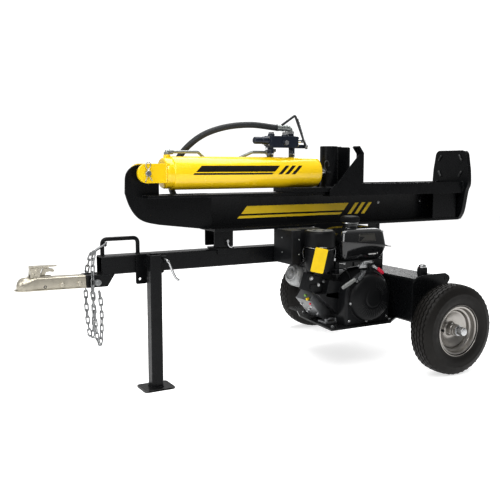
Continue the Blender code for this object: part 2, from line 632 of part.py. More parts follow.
def build_beam():
    length = BEAM_BACK - TOP_FLANGE_FRONT
    beam = plate("beam", i_section(), length, BEAM_BACK - length / 2, "X", "black_paint", TILT)
    cut(beam, block("front_relief", (TOP_FLANGE_FRONT - 0.02, -0.1, BEAM_BOTTOM - 0.02),
                    (BEAM_FRONT, 0.1, BEAM_TOP - FLANGE - 0.003), "black_paint", TILT))
    nose_outline = [(BEAM_FRONT + 0.02, BEAM_BOTTOM + 0.003), (BEAM_FRONT + 0.02, BEAM_TOP - 0.004),
                    (-1.180, BEAM_TOP - 0.004), (-1.180, 0.9380)]
    nose_outline += arc((-1.268, 0.878), 0.0625, 85, 175, 6)
    nose_outline += [(-1.3325, 0.8220), (-1.3130, 0.7660), (-1.2820, 0.7210), (-1.2420, 0.6970),
                     (-1.1820, 0.6830)]
    nose = plate("nose_web", nose_outline, 0.010, 0.0, "Y", "black_paint", TILT)
    barrel = cylinder("barrel", (TILT_X, -0.0368, TILT_Z), (TILT_X, 0.0368, TILT_Z), 0.0220, "black_paint",
                      TILT, 20)
    hanger = block("hanger", (TILT_X - 0.0105, -0.0351, TILT_Z + 0.0130),
                   (TILT_X + 0.0105, 0.0351, BEAM_BOTTOM + 0.004), "black_paint", TILT)
    join(beam, nose, barrel, hanger)
    for side in (-1, 1):
        ears = sorted((side * 0.0450, side * 0.0510))
        join(beam, block("latch_ear", (-0.939, ears[0], 0.5760), (-0.846, ears[1], BEAM_BOTTOM + 0.004),
                         "black_paint", TILT))
    cut(beam, cross_hole(TILT_X, TILT_Z, -0.06, 0.06, TILT_HOLE_RADIUS, TILT, 24),
        cross_hole(LATCH_PIN_X, LATCH_PIN_Z, -0.08, 0.08, 0.0068, TILT),
        cross_hole(BASE_PIN_X, CYLINDER_Z, -0.03, 0.03, BASE_PIN_HOLE_RADIUS, TILT, 24))


def build_footplate():
    right = [(0.067, 0.6500), (0.094, 0.6950), (0.116, 0.8000), (0.132, 0.8400), (0.128, 0.9150)]
    right += arc((0.082, 0.985), 0.032, 8, 90, 4)
    outline = right + [(-y, z) for y, z in reversed(right)]
    thickness = FOOT_BACK_X - FOOT_FRONT_X
    foot = plate("footplate", outline, thickness, FOOT_FRONT_X + thickness / 2, "X", "black_paint", TILT)
    for side in (-1, 1):
        for z, lean in ((0.8920, -1), (0.9780, 1)):
            cleat = block("cleat", (FOOT_FRONT_X - 0.009, -0.005, -0.017),
                          (FOOT_FRONT_X + 0.002, 0.005, 0.017), "black_paint", TILT)
            cleat.location = (FOOT_FRONT_X - 0.0035, side * 0.075, z)
            cleat.rotation_euler = (side * lean * math.radians(35), 0, 0)
            join(foot, cleat)


def build_log_rail(label, side):
    """A rail along the beam's edge with the stripper that pulls the log off the wedge."""
    front, back = -0.352, FOOT_FRONT_X - GAP
    outer, foot_in, lip_in = 0.1000, 0.0400, 0.0850
    low, top, wall = 0.7920, 0.8500, 0.0060
    section = [(foot_in, low), (outer, low), (outer, top), (lip_in, top), (lip_in, top - wall),
               (outer - wall, top - wall), (outer - wall, low + wall), (foot_in, low + wall)]
    section = [(side * y, z) for y, z in section]
    rail = plate("log_rail_" + label, section, back - front, (front + back) / 2, "X", "black_paint", TILT)
    ramp = block("ramp", (-0.44, -0.2, -0.06), (-0.30, 0.2, 0.06), "black_paint", TILT)
    ramp.location = (front - 0.0300, 0, 0.8730)
    ramp.rotation_euler = (0, -math.radians(40), 0)
    cut(rail, ramp)

    gusset_outline = [(-0.300, 0.8360), (-0.158, 0.8360), (-0.158, 0.9940), (-0.176, 0.9940),
                      (-0.318, 0.8430)]
    gusset = plate("gusset", gusset_outline, 0.0058, side * (outer - 0.0030), "Y", "black_paint", TILT)
    hook_outline = [(-0.1540, 0.8345), (-0.1540, 0.9970), (-0.1800, 1.0310), (-0.1880, 1.0260),
                    (-0.1630, 0.9935), (-0.1630, 0.8345)]
    hook_width = 0.0480
    stripper = plate("stripper", hook_outline, hook_width, side * (outer - hook_width / 2 - 0.0002), "Y",
                     "black_paint", TILT)
    join(rail, gusset, stripper)


# ---- cylinder, ram and valve ----
def build_cylinder():
    barrel = cylinder("cylinder_barrel", (CYLINDER_FRONT, 0, CYLINDER_Z), (CYLINDER_REAR, 0, CYLINDER_Z),
                      CYLINDER_RADIUS, "yellow_paint", TILT, 32, bevel=0.005)
    eye_outline = [(-1.150, 0.8640), (-1.150, 0.9460)] + arc((BASE_PIN_X, CYLINDER_Z), 0.0410, 90, 270, 8)
    for side in (-1, 1):
        join(barrel, plate("eye", eye_outline, 0.0200, side * 0.0480, "Y", "yellow_paint", TILT))
    port = cylinder("port", (-1.135, 0.012, 0.970), (-1.135, 0.012, 0.9860), 0.0130, "yellow_paint", TILT, 16)
    join(barrel, port)
    bore = cylinder("bore", (CYLINDER_FRONT + 0.020, 0, CYLINDER_Z), (CYLINDER_REAR - 0.030, 0, CYLINDER_Z),
                    BORE_RADIUS, "yellow_paint", TILT, 24)
    gland = cylinder("gland", (CYLINDER_REAR - 0.06, 0, CYLINDER_Z), (CYLINDER_REAR + 0.02, 0, CYLINDER_Z),
                     ROD_RADIUS + 0.0006, "yellow_paint", TILT, 24)
    cut(barrel, bore, gland,
        cross_hole(BASE_PIN_X, CYLINDER_Z, -0.08, 0.08, BASE_PIN_HOLE_RADIUS, TILT, 24))

    pin = cylinder("base_pin", (BASE_PIN_X, -0.0720, CYLINDER_Z), (BASE_PIN_X, 0.0700, CYLINDER_Z), 0.0126,
                   "bright_zinc", TILT, 24)
    join(pin, cylinder("head", (BASE_PIN_X, 0.0586, CYLINDER_Z), (BASE_PIN_X, 0.0660, CYLINDER_Z), 0.0190,
                       "bright_zinc", TILT))

    pipe_path = [(-1.135, 0.012, 0.9865), (-1.135, 0.012, 0.9970), (-0.985, 0.018, 0.9970),
                 (-0.930, 0.062, 0.9700), (-0.760, 0.062, 0.9700), (-0.705, 0.0260, 0.9990),
                 (-0.590, 0.0260, 0.9990), (-0.590, 0.0260, 1.0150)]
    rod("pressure_pipe", rounded(pipe_path, 0.014, 2, cyclic=False), 0.0060, "bright_zinc", TILT)


def build_ram():
    rod_start, rod_end = -1.130, WEDGE_X - 0.010
    piston_rod = cylinder("piston_rod", (rod_start + 0.02, 0, CYLINDER_Z), (rod_end, 0, CYLINDER_Z), ROD_RADIUS,
                          "chrome", RAM)
    piston = cylinder("piston", (rod_start, 0, CYLINDER_Z), (rod_start + 0.050, 0, CYLINDER_Z),
                      BORE_RADIUS - 0.0008, "dark_steel", RAM, 24)
    join(piston_rod, piston)
    cut(piston_rod, cross_hole(ROD_PIN_X, CYLINDER_Z, -0.06, 0.06, 0.0082, RAM))

    slide_low, slide_top = BEAM_TOP + 0.0006, 0.8320
    wedge = cylinder("wedge", (WEDGE_X, 0, slide_top - 0.004), (WEDGE_X, 0, 1.0300), WEDGE_TUBE_RADIUS,
                     "black_paint", RAM, 32)
    slide_plate = block("slide", (-0.552, -0.0900, slide_low), (-0.170, 0.0900, slide_top), "black_paint", RAM,
                        bevel=0.002)
    blade_outline = [(-0.270, 0.8280), (-0.182, 0.8280), (-0.164, 0.8400), (-0.164, 1.0280), (-0.270, 1.0280)]
    blade = plate("blade", blade_outline, 0.024, 0.0, "Y", "black_paint", RAM)
    edge_cuts = []
    for side in (-1, 1):
        chisel = block("chisel", (-0.05, -0.02, -0.2), (0.05, 0.02, 0.2), "black_paint", RAM)
        chisel.location = (-0.1720, side * 0.0290, 0.930)
        chisel.rotation_euler = (0, 0, side * math.radians(-16))
        edge_cuts.append(chisel)
    cut(blade, *edge_cuts)
    join(wedge, slide_plate, blade)
    socket = cylinder("socket", (WEDGE_X - 0.08, 0, CYLINDER_Z), (rod_end + GAP, 0, CYLINDER_Z),
                      ROD_RADIUS + GAP, "black_paint", RAM, 24)
    cut(wedge, socket, cross_hole(ROD_PIN_X, CYLINDER_Z, -0.06, 0.06, 0.0082, RAM))

    x = ROD_PIN_X
    pin_path = [(x, 0.0480, CYLINDER_Z), (x, -0.0445, CYLINDER_Z), (x - 0.020, -0.0445, 0.9130),
                (x - 0.032, -0.0420, 0.9360), (x - 0.024, -0.0380, 0.9560), (x - 0.010, -0.0400, 0.9480)]
    rod("rod_pin", rounded(pin_path, 0.010, 2, cyclic=False), 0.0062, "bright_zinc", RAM)


def build_valve():
    body = block("valve_body", (-0.640, -0.0300, 1.0160), (-0.482, 0.0300, 1.0740), "valve_blue", TILT,
                 bevel=0.004)
    detent = cylinder("detent", (-0.712, 0, VALVE_Z), (-0.630, 0, VALVE_Z), 0.0165, "valve_blue", TILT)
    legs = [block("leg", (x, -0.0180, 0.9775), (x + 0.012, 0.0180, 1.0200), "valve_blue", TILT)
            for x in (-0.628, -0.512)]
    fork = block("fork", (-0.490, -0.0085, 1.0180), (-0.430, 0.0085, 1.0350), "valve_blue", TILT)
    outlet = cylinder("outlet", (-0.500, 0.0200, 1.070), (-0.500, 0.0200, 1.0950), 0.0130, "valve_blue", TILT,
                      16)
    inlet = cylinder("inlet", (-0.585, 0.0250, 1.0450), (-0.585, 0.0450, 1.0450), 0.0130, "valve_blue", TILT,
                     16)
    join(body, detent, fork, outlet, inlet, *legs)
    spool_bore = cylinder("spool_bore", (-0.704, 0, VALVE_Z), (-0.470, 0, VALVE_Z), 0.0093, "valve_blue", TILT)
    foot_hollow = cylinder("foot_hollow", (-0.70, 0, CYLINDER_Z), (-0.45, 0, CYLINDER_Z),
                           CYLINDER_RADIUS + GAP, "valve_blue", TILT, 32)
    cut(body, spool_bore, foot_hollow,
        cross_hole(LEVER_X, LEVER_Z, -0.03, 0.03, 0.0045, TILT))

    spool_pivot = pivot_at("valve_spool_slide", (-0.560, 0, VALVE_Z))
    spool_pivot.parent = TILT
    spool_pivot.matrix_parent_inverse = Matrix.Translation(-TILT.location)
    spool = cylinder("valve_spool", (-0.690, 0, VALVE_Z), (-0.434, 0, VALVE_Z), 0.0086, "chrome", spool_pivot,
                     16)
    cut(spool, block("slot", (-0.4520, -0.02, VALVE_Z - 0.0072), (-0.4430, 0.02, VALVE_Z + 0.02), "chrome",
                     spool_pivot))

    lever_pivot = pivot_at("valve_lever_pivot", (LEVER_X, 0, LEVER_Z))
    lever_y = -0.0165
    lever_path = [(-0.4330, lever_y, 1.0180), (-0.4985, lever_y, 1.1700), (-0.5700, lever_y, 1.1240)]
    lever = rod("valve_lever", rounded(lever_path, 0.008, 3, cyclic=False), 0.0055, "dark_steel", lever_pivot)
    axle = cylinder("axle", (LEVER_X, lever_y, LEVER_Z), (LEVER_X, 0.0100, LEVER_Z), 0.0040, "dark_steel",
                    lever_pivot, 12)
    link = cylinder("link", (-0.4475, lever_y, VALVE_Z), (-0.4475, 0.0050, VALVE_Z), 0.0030, "dark_steel",
                    lever_pivot, 12)
    join(lever, axle, link)


def build_hoses():
    """Both hoses run along the beam's far side and turn down to the chassis beside the tilt pin."""
    return_path = [(-0.500, 0.0200, 1.0955), (-0.500, 0.0200, 1.1080), (-0.580, 0.0300, 1.1150),
                   (-0.700, 0.0400, 1.1200), (-0.820, 0.0500, 1.1100), (-0.930, 0.0650, 1.0830),
                   (-1.010, 0.0850, 1.0350), (-1.060, 0.1050, 0.9700), (-1.075, 0.1080, 0.8900),
                   (-1.060, 0.1080, 0.8000), (-1.000, 0.0980, 0.7350), (-0.900, 0.0620, 0.7050),
                   (-0.700, 0.0520, 0.7000), (-0.130, 0.0600, 0.7000), (-0.055, 0.1050, 0.6750),
                   (-0.020, 0.1080, 0.5600), (-0.020, 0.1080, 0.4184)]
    rod("return_hose", rounded(return_path, 0.05, 2, cyclic=False), 0.0135, "hose_rubber", TILT, 1)
    pressure_path = [(-0.585, 0.0455, 1.0450), (-0.585, 0.0750, 1.0450), (-0.560, 0.1280, 1.0000),
                     (-0.500, 0.1300, 0.8800), (-0.420, 0.1300, 0.7700), (-0.330, 0.1150, 0.7400),
                     (-0.200, 0.1100, 0.7400), (-0.060, 0.1300, 0.7000), (-0.060, 0.1450, 0.5600),
                     (-0.140, 0.1500, 0.4700), (-0.250, 0.1250, 0.4600), (-0.280, 0.1100, 0.4300),
                     (-0.280, 0.1100, 0.3857)]
    rod("pressure_hose", rounded(pressure_path, 0.05, 2, cyclic=False), 0.0095, "hose_rubber", TILT, 1)


# ---- engine ----
def build_engine_plate():
    outline = [(-0.500, -0.333), (-0.159, -0.333), (-0.053, -0.254), (-0.030, -0.200), (-0.030, 0.180),
               (-0.400, 0.180), (-0.405, 0.100), (-0.460, -0.010), (-0.478, -0.133)]
    top = TANK_BOTTOM - GAP
    mount = plate("engine_plate", outline, 0.008, top - 0.004, "Z", "black_paint")
    hanger = block("hanger", (-0.158, -0.0300, top - 0.003), (-0.148, 0.0300, TONGUE_BOTTOM - GAP),
                   "black_paint")
    join(mount, hanger)


def build_crankcase():
    case = block("crankcase", (-0.385, -0.2100, TANK_BOTTOM), (-0.175, -0.0500, 0.4400), "cast_alloy",
                 bevel=0.014)
    barrel = block("barrel", (-0.515, -0.1750, 0.3450), (-0.300, -0.0550, 0.4450), "cast_alloy", bevel=0.008,
                   tilt=CYLINDER_TILT)
    barrel.location = (-0.4200, -0.1150, 0.3870)
    join(case, barrel)
    front_outline = [(-0.380, 0.2180), (-0.448, 0.2300), (-0.520, 0.3150), (-0.480, 0.3700), (-0.380, 0.3900)]
    join(case, plate("front_cover", front_outline, 0.1150, -0.1275, "Y", "cast_alloy"))
    cavity = cylinder("cavity", (CRANK_X, -0.2000, CRANK_Z), (CRANK_X, -0.0600, CRANK_Z), 0.0760,
                      "cast_alloy")
    bearing = cylinder("bearing", (CRANK_X, -0.2300, CRANK_Z), (CRANK_X, -0.0300, CRANK_Z),
                       CRANK_RADIUS + 0.0007, "cast_alloy")
    cut(case, cavity, bearing)

    cover = block("rocker_cover", (-0.583, -0.1700, 0.3800), (-0.5265, -0.0500, 0.4800), "cast_alloy",
                  bevel=0.020, segments=2, tilt=CYLINDER_TILT)
    cover.location = (-0.5535, -0.1100, 0.4329)

    carb = block("carburettor", (-0.4380, -0.1720, 0.4550), (-0.3900, -0.1220, 0.5000), "cast_alloy",
                 bevel=0.004)
    bowl = cylinder("bowl", (-0.4140, -0.1500, 0.4480), (-0.4140, -0.1500, 0.4600), 0.0180, "cast_alloy")
    join(carb, bowl)


def build_crank():
    shaft = cylinder("crankshaft", (CRANK_X, -0.3080, CRANK_Z), (CRANK_X, 0.0490, CRANK_Z), CRANK_RADIUS,
                     "dark_steel", CRANK)
    for y in (-0.170, -0.105):
        join(shaft, cylinder("web", (CRANK_X, y, CRANK_Z), (CRANK_X, y + 0.022, CRANK_Z), 0.050, "dark_steel",
                             CRANK))
    wheel = cylinder("flywheel", (CRANK_X, -0.2950, CRANK_Z), (CRANK_X, -0.2400, CRANK_Z), 0.1080, "dark_steel",
                     CRANK, 28)
    cut(wheel, cylinder("bore", (CRANK_X, -0.3200, CRANK_Z), (CRANK_X, -0.2200, CRANK_Z), CRANK_RADIUS + 0.0004,
                        "dark_steel", CRANK, 24))


def build_blower():
    top_arc = arc((CRANK_X, CRANK_Z), 0.1280, 0, 180, 14)
    outline = [(CRANK_X + 0.128, TANK_BOTTOM)] + top_arc + [(CRANK_X - 0.128, TANK_BOTTOM)]
    front, back = BLOWER_FRONT, BLOWER_BACK
    housing = plate("blower_housing", outline, back - front, (front + back) / 2, "Y", "engine_black")
    shroud = block("shroud", (-0.570, -0.2180, 0.3350), (-0.396, -0.1875, 0.4150), "engine_black", bevel=0.006,
                   tilt=CYLINDER_TILT)
    shroud.location = (-0.4800, -0.2010, 0.3880)
    bridge = block("bridge", (-0.450, -0.2600, 0.3200), (-0.392, -0.2120, 0.4100), "engine_black",
                   bevel=0.006)
    skirt = plate("skirt", [(-0.385, 0.2320), (-0.385, 0.3600), (-0.520, 0.3600), (-0.500, 0.3400)], 0.0420,
                  -0.2350, "Y", "engine_black")
    tab = block("tab", (-0.275, front, 0.4500), (-0.252, front + 0.012, 0.4900), "engine_black")
    cavity = cylinder("cavity", (CRANK_X, front - 0.01, CRANK_Z), (CRANK_X, back - 0.005, CRANK_Z), 0.1130,
                      "engine_black", sides=32)
    hub = cylinder("hub", (CRANK_X, front - 0.01, CRANK_Z), (CRANK_X, back + 0.01, CRANK_Z), 0.0180,
                   "engine_black")
    join(housing, shroud, bridge, skirt, tab)
    cut(housing, cavity, hub)

    turned("recoil_cover", [(0, 0.0400), (0.045, 0.0400), (0.085, 0.0340), (0.112, 0.0200), (0.118, 0.0),
                            (0.112, 0.0), (0.080, 0.0260), (0, 0.0320)],
           (CRANK_X, front - GAP, CRANK_Z), "-Y", "engine_black", steps=28, closed=False)

    lever_y = front - 0.0100
    throttle_pivot = pivot_at("throttle_pivot", (THROTTLE_X, lever_y, THROTTLE_Z))
    lever = cylinder("throttle_lever", (THROTTLE_X, front - 0.0005, THROTTLE_Z),
                     (THROTTLE_X, front - 0.0140, THROTTLE_Z), 0.0080, "red_rubber", throttle_pivot)
    arm = plate("arm", [(THROTTLE_X, 0.4720), (-0.228, 0.4520), (-0.222, 0.4590), (-0.258, 0.4840)], 0.0040,
                lever_y, "Y", "red_rubber", throttle_pivot)
    knob = cylinder("knob", (-0.236, lever_y, 0.4650), (-0.208, lever_y, 0.4430), 0.0075, "red_rubber",
                    throttle_pivot, 16)
    join(lever, arm, knob)

    grip_y = RECOIL_GRIP_Y
    grip_pivot = pivot_at("recoil_slide", (-0.437, grip_y, 0.419))
    rod("recoil_grip", [(-0.472, grip_y, 0.402), (-0.462, grip_y, 0.407), (-0.437, grip_y - 0.002, 0.419),
                        (-0.412, grip_y, 0.431), (-0.402, grip_y, 0.436)], 0.0095, "grey_plastic", grip_pivot)


def guard_outline(inset):
    """The muffler guard is an L from above, with its short leg in front of the air cleaner."""
    front, step, back = -0.630 + inset, -0.578 - inset, -0.440 - inset
    near, middle, far = -0.205 + inset, -0.156 + inset, -0.045 - inset
    return rounded([(front, near), (step, near), (step, middle), (back, middle), (back, far), (front, far)],
                   0.014, 2)


def build_fuel_and_air():
    tank = waisted_block("fuel_tank", (-0.425, -0.3050, 0.5050), (-0.166, -0.1000, 0.6450), 0.5760, 0.020,
                         0.026, "gloss_black")
    round_edges(tank, 0.010, 2)
    cap_x, cap_y = FUEL_CAP_X, FUEL_CAP_Y
    neck = cylinder("neck", (cap_x, cap_y, 0.640), (cap_x, cap_y, FUEL_NECK_TOP), 0.0300, "gloss_black")
    join(tank, neck)
    hollow = waisted_block("hollow", (-0.419, -0.2990, 0.5110), (-0.172, -0.1060, 0.6390), 0.5760, 0.022,
                           0.028, "gloss_black")
    filler = cylinder("filler", (cap_x, cap_y, 0.620), (cap_x, cap_y, 0.680), 0.0250, "gloss_black")
    cut(tank, hollow, filler)

    cap_pivot = pivot_at("fuel_cap_axis", (cap_x, cap_y, FUEL_NECK_TOP))
    cylinder("fuel_cap", (cap_x, cap_y, FUEL_NECK_TOP + GAP), (cap_x, cap_y, 0.7030), 0.0460, "black_plastic",
             cap_pivot, 28, bevel=0.004)

    turned("air_cleaner", [(0, 0.1880), (0.045, 0.1870), (0.064, 0.1790), (0.0700, 0.1640), (0.0715, 0.1150),
                           (0.0675, 0.1100), (0.0670, 0.0200), (0.0600, 0.0), (0.0560, 0.0), (0.0630, 0.0220),
                           (0.0640, 0.1600), (0, 0.1800)],
           (AIR_CLEANER_X, AIR_CLEANER_Y, 0.4620), "Z", "black_plastic", closed=False)

    low, top, wall = 0.4870, 0.6450, 0.0030
    guard = plate("muffler_guard", guard_outline(0.0), top - low, (low + top) / 2, "Z", "engine_black")
    cut(guard, plate("hollow", guard_outline(wall), top - low, (low + top) / 2 - wall, "Z", "engine_black"))


def build_pump():
    face = -0.0497
    turned("pump_housing", [(0.0820, 0.0080), (0.0820, 0.0), (0.0300, 0.0), (0.0300, 0.0990), (0.0700, 0.0990),
                            (0.0700, 0.0850), (0.0600, 0.0800), (0.0600, 0.0080)],
           (CRANK_X, face, CRANK_Z), "Y", "cast_alloy")
    front = face + 0.0990 + GAP
    pump = block("hydraulic_pump", (CRANK_X - 0.045, front, 0.2850), (CRANK_X + 0.045, front + 0.1000, 0.3800),
                 "cast_alloy", bevel=0.006)
    outlet = cylinder("outlet", (CRANK_X, 0.1100, 0.3700), (CRANK_X, 0.1100, 0.3850), 0.0140, "cast_alloy",
                      sides=16)
    suction = cylinder("suction", (CRANK_X + 0.040, 0.1050, 0.3200), (TANK_FRONT - GAP, 0.1050, 0.3200), 0.0160,
                       "cast_alloy", sides=16)
    join(pump, outlet, suction)


# ---- the machine ----
clear_scene()
PARTS = new_collection("log_splitter")
CUTTERS = new_collection("cutters")
MATERIALS = {name: make_material(name) for name in PALETTE}
ROOT = new_empty("machine_frame", (AXLE_X, 0, 0))
TILT = pivot_at("beam_tilt_pivot", (TILT_X, 0, TILT_Z))
RAM = pivot_at("ram_slide", (WEDGE_X, 0, CYLINDER_Z))
CRANK = pivot_at("crank_axis", (CRANK_X, 0, CRANK_Z))

build_tongue()
build_coupler()
build_chains()
build_jack()
build_saddle()
build_tank()
build_spindles()
build_wheels()
build_tilt_bracket()
build_beam()
build_footplate()
build_log_rail("near", -1)
build_log_rail("far", 1)
build_cylinder()
build_ram()
build_valve()
build_hoses()
build_engine_plate()
build_crankcase()
build_crank()
build_blower()
build_fuel_and_air()
build_pump()
bpy.context.view_layer.update()
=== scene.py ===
"""The looks of the towable log splitter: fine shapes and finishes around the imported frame.

Shapes are written in metres from the point on the ground under the axle, as the CAD is, with +X to
the footplate, -Y to the engine's side and +Z up. Each one is then shifted into the frame's place.
"""
import math
import random

import bmesh
import bpy
from mathutils import Matrix, Vector


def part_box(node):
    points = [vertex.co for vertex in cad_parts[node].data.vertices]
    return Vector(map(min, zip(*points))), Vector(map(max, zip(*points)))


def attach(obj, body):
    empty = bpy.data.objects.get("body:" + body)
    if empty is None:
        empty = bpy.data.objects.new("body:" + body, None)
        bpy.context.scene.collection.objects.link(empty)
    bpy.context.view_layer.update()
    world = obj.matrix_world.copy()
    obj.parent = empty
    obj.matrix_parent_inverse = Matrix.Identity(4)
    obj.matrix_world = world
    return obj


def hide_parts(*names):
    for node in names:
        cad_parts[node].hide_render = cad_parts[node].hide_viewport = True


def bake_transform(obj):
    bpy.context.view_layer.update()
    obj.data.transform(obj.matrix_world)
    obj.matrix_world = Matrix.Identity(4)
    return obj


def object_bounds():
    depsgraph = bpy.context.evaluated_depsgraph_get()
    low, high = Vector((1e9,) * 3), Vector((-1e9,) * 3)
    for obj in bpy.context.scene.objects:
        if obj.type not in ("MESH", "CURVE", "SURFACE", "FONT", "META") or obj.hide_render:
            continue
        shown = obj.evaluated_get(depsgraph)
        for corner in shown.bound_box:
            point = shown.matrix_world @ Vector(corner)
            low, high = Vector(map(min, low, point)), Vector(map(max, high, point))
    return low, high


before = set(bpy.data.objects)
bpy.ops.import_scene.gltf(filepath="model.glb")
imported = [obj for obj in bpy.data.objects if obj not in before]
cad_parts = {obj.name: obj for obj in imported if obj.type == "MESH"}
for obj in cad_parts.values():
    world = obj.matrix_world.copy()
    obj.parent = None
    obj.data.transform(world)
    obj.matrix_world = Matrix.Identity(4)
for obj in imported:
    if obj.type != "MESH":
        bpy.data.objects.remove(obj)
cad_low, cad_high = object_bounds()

random.seed(4)
spindle_low, spindle_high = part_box("spindle_near")
AXLE = Vector(((spindle_low.x + spindle_high.x) / 2, 0, 0))

# ---- places shared by several pieces (metres) ----
WHEEL_Y = 0.5575
TYRE_RADIUS = 0.205
CYLINDER_Z = 0.905
CYLINDER_RADIUS = 0.07225
CYLINDER_FRONT, CYLINDER_REAR = -1.165, -0.37
TILT_X, TILT_Z = -0.005, 0.545
BEAM_BOTTOM, BEAM_TOP = 0.648, 0.812
CRANK_X, CRANK_Z = -0.28, 0.335
ENGINE_TILT = math.radians(18.8)
NEAR, FAR = -1, 1
SIDES = (NEAR, FAR)
UP, NEARWARD, FARWARD, BACKWARD, FORWARD = (0, 0, 1), (0, -1, 0), (0, 1, 0), (1, 0, 0), (-1, 0, 0)
COVER_LUGS = (40, 115, 190, 262, 330)
COVER_LUG_RADIUS = 0.109


def box(node):
    """A CAD node's lowest and highest corner, from the point under the axle."""
    low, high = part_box(node)
    return low - AXLE, high - AXLE


# ---- finishes ----
def add(tree, kind, inputs=(), **settings):
    node = tree.nodes.new("ShaderNode" + kind)
    for key, value in settings.items():
        setattr(node, key, value)
    for key, value in dict(inputs).items():
        wire(tree, node.inputs[key], value)
    return node


def wire(tree, socket, value):
    if isinstance(value, bpy.types.NodeSocket):
        tree.links.new(value, socket)
    else:
        socket.default_value = value


def noise(tree, place, scale, detail=4.0, roughness=0.6):
    node = add(
        tree, "TexNoise", {"Vector": place, "Scale": scale, "Detail": detail, "Roughness": roughness})
    return node.outputs["Fac"]


def between(tree, value, low, high, to_low, to_high):
    """Maps a value's range onto another one, clamped."""
    node = add(
        tree, "MapRange", {"Value": value, "From Min": low, "From Max": high, "To Min": to_low,
        "To Max": to_high})
    return node.outputs["Result"]


def tint(tree, share, first, second):
    return add(tree, "Mix", {0: share, 6: first, 7: second}, data_type="RGBA").outputs[2]


def multiply(tree, first, second):
    return add(tree, "Math", {0: first, 1: second}, operation="MULTIPLY").outputs[0]


def rgb(*values, gain=1.0):
    return (*[min(1.0, v * gain) for v in values], 1.0)


def edge_mask(tree, reach):
    """1 on edges that stand out, 0 on flats: how far a rounded normal leans from the true one."""
    rounded_normal = add(tree, "Bevel", {"Radius": reach}, samples=4).outputs["Normal"]
    true_normal = add(tree, "NewGeometry").outputs["True Normal"]
    dot = add(tree, "VectorMath", {0: rounded_normal, 1: true_normal}, operation="DOT_PRODUCT").outputs[
        "Value"]
    return between(tree, dot, 0.995, 0.9, 0.0, 1.0)


def make_finish(
        name, colour, roughness, metallic=0.0, *, mottle=0.12, mottle_scale=9.0, uneven=0.06, grain=300.0,
        grain_depth=0.00004, edge=None, edge_share=0.5, dust=0.0, coat=0.0, round_edges=0.0, speckle=None,
        shine=0.5):
    """A procedural finish: mottled colour, uneven gloss, fine grain, worn edges and settled dust."""
    material = bpy.data.materials.new(name)
    material.use_nodes = True
    tree = material.node_tree
    shader = tree.nodes["Principled BSDF"]
    place = add(tree, "TexCoord").outputs["Object"]

    cloud = noise(tree, place, mottle_scale)
    base = tint(
        tree, between(tree, cloud, 0.3, 0.7, 0.0, 1.0), rgb(*colour, gain=1 - mottle),
        rgb(*colour, gain=1 + mottle))
    if speckle:
        spots = noise(tree, place, grain * 0.5, 2.0)
        base = tint(tree, between(tree, spots, 0.6, 0.72, 0.0, 0.5), base, rgb(*speckle))
    if edge:
        patchy = between(tree, noise(tree, place, 60.0), 0.35, 0.65, 0.2, 1.0)
        worn = multiply(tree, edge_mask(tree, 0.0016), patchy)
        worn = multiply(tree, worn, edge_share)
        base = tint(tree, worn, base, rgb(*edge))
    if dust:
        up = add(tree, "SeparateXYZ", {0: add(tree, "NewGeometry").outputs["Normal"]}).outputs["Z"]
        level = between(tree, up, 0.6, 1.0, 0.0, dust)
        settled = multiply(tree, level, between(tree, noise(tree, place, 30.0), 0.3, 0.7, 0.5, 1.0))
        base = tint(tree, settled, base, rgb(0.42, 0.41, 0.39))
    wire(tree, shader.inputs["Base Color"], base)

    gloss = noise(tree, place, mottle_scale * 3.0)
    wire(
        tree, shader.inputs["Roughness"], between(tree, gloss, 0.3, 0.7, max(0.02, roughness - uneven),
        roughness + uneven))
    shader.inputs["Metallic"].default_value = metallic
    shader.inputs["Specular IOR Level"].default_value = shine
    shader.inputs["Coat Weight"].default_value = coat
    shader.inputs["Coat Roughness"].default_value = 0.08
    bump = add(
        tree, "Bump", {"Strength": 1.0, "Distance": grain_depth,
        "Height": noise(tree, place, grain, 3.0)})
    if round_edges:
        soft = add(tree, "Bevel", {"Radius": round_edges}, samples=4).outputs["Normal"]
        wire(tree, bump.inputs["Normal"], soft)
    wire(tree, shader.inputs["Normal"], bump.outputs["Normal"])
    material.diffuse_color = rgb(*colour)
    return material


def hose_finish(name):
    """Rubber with the print of its cloth wrap."""
    material = make_finish(name, (0.03, 0.032, 0.034), 0.55, grain=900.0, shine=0.4)
    tree = material.node_tree
    bump = next(node for node in tree.nodes if node.type == "BUMP")
    place = add(tree, "TexCoord").outputs["Object"]
    weave = add(
        tree, "TexWave", {"Vector": place, "Scale": 130.0, "Distortion": 1.5}, bands_direction="DIAGONAL")
    second = add(
        tree, "Bump", {"Strength": 0.5, "Distance": 0.0002, "Height": weave.outputs["Fac"],
        "Normal": bump.outputs["Normal"]})
    wire(tree, tree.nodes["Principled BSDF"].inputs["Normal"], second.outputs["Normal"])
    return material


def brushed_finish(name, colour, roughness, stretch):
    """Plated steel with fine streaks along one direction."""
    material = make_finish(name, colour, roughness, 1.0, mottle=0.1, mottle_scale=22.0)
    tree = material.node_tree
    bump = next(node for node in tree.nodes if node.type == "BUMP")
    place = add(tree, "TexCoord").outputs["Object"]
    streaks = add(tree, "VectorMath", {0: place, 1: stretch}, operation="MULTIPLY").outputs["Vector"]
    wire(tree, bump.inputs["Height"], noise(tree, streaks, 40.0, 6.0, 0.7))
    return material


FINISHES = {}


def keep(name, *settings, make=make_finish, **details):
    """Makes a finish and files it under its name."""
    FINISHES[name] = make(name, *settings, **details)


